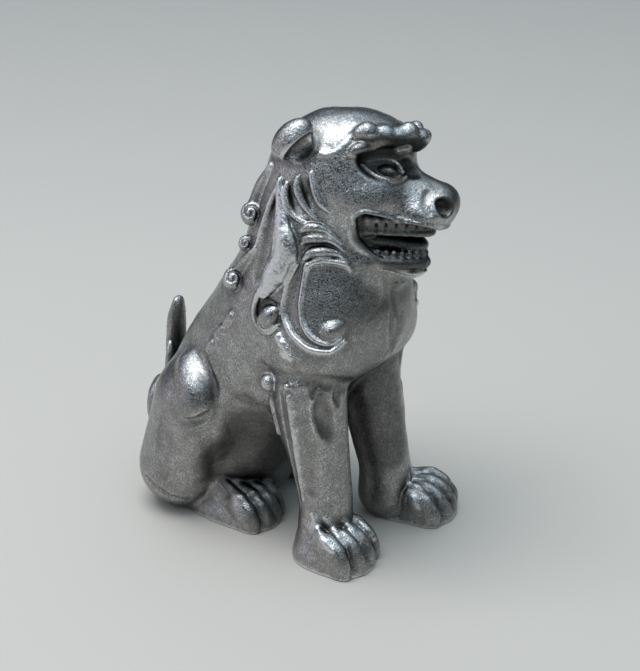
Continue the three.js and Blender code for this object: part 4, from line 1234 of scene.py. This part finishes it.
# Sharp edges brighten as rubbed wear and painted highlight; tone adds grime, rubbing, painted shade and
# painted highlight; hidden adds painted shade
WEAR_AND_PAINTED_LIGHT_WEIGHTS = {"edge": -0.6, "tone": 1, "hidden": 0.22}
# The metal's colour from bright to dark as the shade value grows; the dark end carries patina and painted
# shade
METAL_STOPS = (
    (0, (0.68, 0.685, 0.69, 1)),
    (0.2, (0.31, 0.306, 0.297, 1)),
    (0.6, (0.13, 0.13, 0.125, 1)),
    (1, (0.03, 0.03, 0.029, 1)),
)
GLOSS_STOPS = ((0, (0.22, 0.22, 0.22, 1)), (0.7, (0.36, 0.36, 0.36, 1)))
STEEL_STOPS = ((0.3, (0.42, 0.42, 0.42, 1)), (0.7, (0.62, 0.62, 0.63, 1)))
# Floor colours from near to far: the darker far colour is painted shade
FLOOR_STOPS = ((0.1, (0.49, 0.46, 0.42, 1)), (0.42, (0.41, 0.385, 0.36, 1)))
FLOOR_ROUGHNESS = 0.6


def new_material(name):
    """A material with its nodes, links and surface inputs, and the object's own places."""
    material = bpy.data.materials.new(name)
    material.use_nodes = True
    nodes, links = material.node_tree.nodes, material.node_tree.links
    place = nodes.new("ShaderNodeTexCoord").outputs["Object"]
    return material, nodes, links, nodes["Principled BSDF"].inputs, place


def noise(nodes, links, place, scale, detail, twist=0):
    node = nodes.new("ShaderNodeTexNoise")
    node.inputs["Scale"].default_value = scale
    node.inputs["Detail"].default_value = detail
    node.inputs["Distortion"].default_value = twist
    links.new(place, node.inputs["Vector"])
    return node.outputs["Fac"]


def ramp(nodes, links, value, stops):
    node = nodes.new("ShaderNodeValToRGB")
    links.new(value, node.inputs["Fac"])
    elements = node.color_ramp.elements
    elements[0].position, elements[0].color = stops[0]
    elements[1].position, elements[1].color = stops[-1]
    for place, colour in stops[1:-1]:
        elements.new(place).color = colour
    return node.outputs["Color"]


def attribute(nodes, name):
    node = nodes.new("ShaderNodeAttribute")
    node.attribute_name = name
    return node.outputs["Fac"]


def weighed(nodes, links, first, second, weight):
    """The first value plus the second one times a weight."""
    node = nodes.new("ShaderNodeMath")
    node.operation = "MULTIPLY_ADD"
    node.inputs[1].default_value = weight
    links.new(second, node.inputs[0])
    links.new(first, node.inputs[2])
    return node.outputs["Value"]


def bumped(nodes, links, height, distance, strength, below=None):
    node = nodes.new("ShaderNodeBump")
    node.inputs["Strength"].default_value = strength
    node.inputs["Distance"].default_value = distance
    links.new(height, node.inputs["Height"])
    if below is not None:
        links.new(below, node.inputs["Normal"])
    return node.outputs["Normal"]


def plated(nodes, links, surface, value, stops):
    """Lets a value set the colour and the gloss of bare metal."""
    surface["Metallic"].default_value = 1
    links.new(ramp(nodes, links, value, stops), surface["Base Color"])
    links.new(ramp(nodes, links, value, GLOSS_STOPS), surface["Roughness"])


def cast_metal():
    """Bare grey metal, bright where hands rub it and on sharp edges, partly rubbed wear and partly painted
    highlight; dark and rough in hollows, partly casting skin and partly painted shade, and where the figure
    keeps the room's light from it, as painted shade.
    """
    material, nodes, links, surface, place = new_material("cast_metal")
    grain, blotch, twisted = (noise(nodes, links, place, **kind) for kind in (GRAIN, BLOTCH, WORM))
    worm = ramp(nodes, links, twisted, WORM_STOPS)
    # The shut measure darkens hollows: partly casting skin, partly painted shade
    shade = weighed(nodes, links, attribute(nodes, "shut"), blotch, BLOTCH_WEIGHT)
    shade = weighed(nodes, links, shade, worm, WORM_WEIGHT)
    # Edge wear and painted highlight, tone, and painted shade from the hidden measure
    for name, weight in WEAR_AND_PAINTED_LIGHT_WEIGHTS.items():
        shade = weighed(nodes, links, shade, attribute(nodes, name), weight)
    plated(nodes, links, surface, shade, METAL_STOPS)
    normal = bumped(nodes, links, worm, **WORM_BUMP)
    links.new(bumped(nodes, links, grain, **GRAIN_BUMP, below=normal), surface["Normal"])
    return material


def drawn_steel():
    """Plain steel rod with a fine mottle."""
    material, nodes, links, surface, place = new_material("pin_steel")
    plated(nodes, links, surface, noise(nodes, links, place, **MOTTLE), STEEL_STOPS)
    return material


# Stage, in metres
FLOOR_SIZE = 3.0
LAMP_AIM = 0.04
KEY_LAMP = dict(place=(-0.17, 0.04, 0.76), size=0.5, watts=4.9, colour=(0.96, 0.98, 1))
SIDE_LAMP = dict(place=(-0.8, 0.1, 0.3), size=0.8, watts=1.5, colour=(0.92, 0.87, 1))
ROOM_STOPS = (
    (0.0, (0.025, 0.025, 0.025, 1)),
    (0.28, (0.035, 0.038, 0.042, 1)),
    (0.5, (0.25, 0.31, 0.36, 1)),
    (0.78, (0.72, 0.88, 1, 1)),
)


def floor_pale():
    """A pale matt sweep whose colour darkens away from the camera behind the figure, as painted shade."""
    material, nodes, links, surface, place = new_material("floor_pale")
    surface["Roughness"].default_value = FLOOR_ROUGHNESS
    depth = nodes.new("ShaderNodeVectorMath")
    depth.operation = "DOT_PRODUCT"
    depth.inputs[1].default_value = (-CAMERA_BACK[0], -CAMERA_BACK[1], 0)
    links.new(place, depth.inputs[0])
    links.new(ramp(nodes, links, depth.outputs["Value"], FLOOR_STOPS), surface["Base Color"])
    return material


def add_floor():
    mesh = bpy.data.meshes.new("floor")
    half = FLOOR_SIZE / 2
    corners = [(-half, -half, 0), (half, -half, 0), (half, half, 0), (-half, half, 0)]
    mesh.from_pydata(corners, [], [(0, 1, 2, 3)])
    mesh.materials.append(floor_pale())
    linked("floor", mesh)


def add_lamp(name, place, size, watts, colour):
    """A soft lamp, placed by metres to the camera's right, towards the camera and up."""
    data = bpy.data.lights.new(name, "AREA")
    data.energy = watts
    data.color = colour
    data.size = size
    lamp = linked(name, data)
    towards = Vector((CAMERA_BACK[0], CAMERA_BACK[1], 0)).normalized()
    lamp.location = place[0] * Vector(CAMERA_RIGHT) + place[1] * towards + Vector((0, 0, place[2]))
    lamp.rotation_euler = (Vector((0, 0, LAMP_AIM)) - lamp.location).to_track_quat("-Z", "Y").to_euler()


def add_world():
    """A dim room with a bright ceiling."""
    world = bpy.data.worlds.new("studio")
    bpy.context.scene.world = world
    world.use_nodes = True
    nodes, links = world.node_tree.nodes, world.node_tree.links
    split = nodes.new("ShaderNodeSeparateXYZ")
    links.new(nodes.new("ShaderNodeTexCoord").outputs["Generated"], split.inputs["Vector"])
    links.new(ramp(nodes, links, split.outputs["Z"], ROOM_STOPS), nodes["Background"].inputs["Color"])


def add_camera():
    data = bpy.data.cameras.new("camera")
    data.angle = math.radians(CAMERA_LONG_ANGLE)
    camera = linked("camera", data)
    camera.location = Vector(CAMERA_PLACE * MM)
    camera.rotation_mode = "QUATERNION"
    camera.rotation_quaternion = Vector(-CAMERA_BACK).to_track_quat("-Z", "Y")
    bpy.context.scene.camera = camera


low, high = (np.array(corner) / MM for corner in CAD_BOUNDS)
clay = sculpt(low - MARGIN, high + MARGIN, FINE_CELL)
dress(clay, cast_metal())
pin_steel = drawn_steel()
for name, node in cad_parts.items():
    if name not in NUMBER:
        node.data.materials.clear()
        node.data.materials.append(pin_steel)
add_floor()
add_world()
add_lamp("key", **KEY_LAMP)
add_lamp("side", **SIDE_LAMP)
add_camera()
bpy.context.scene.view_settings.view_transform = "Standard"
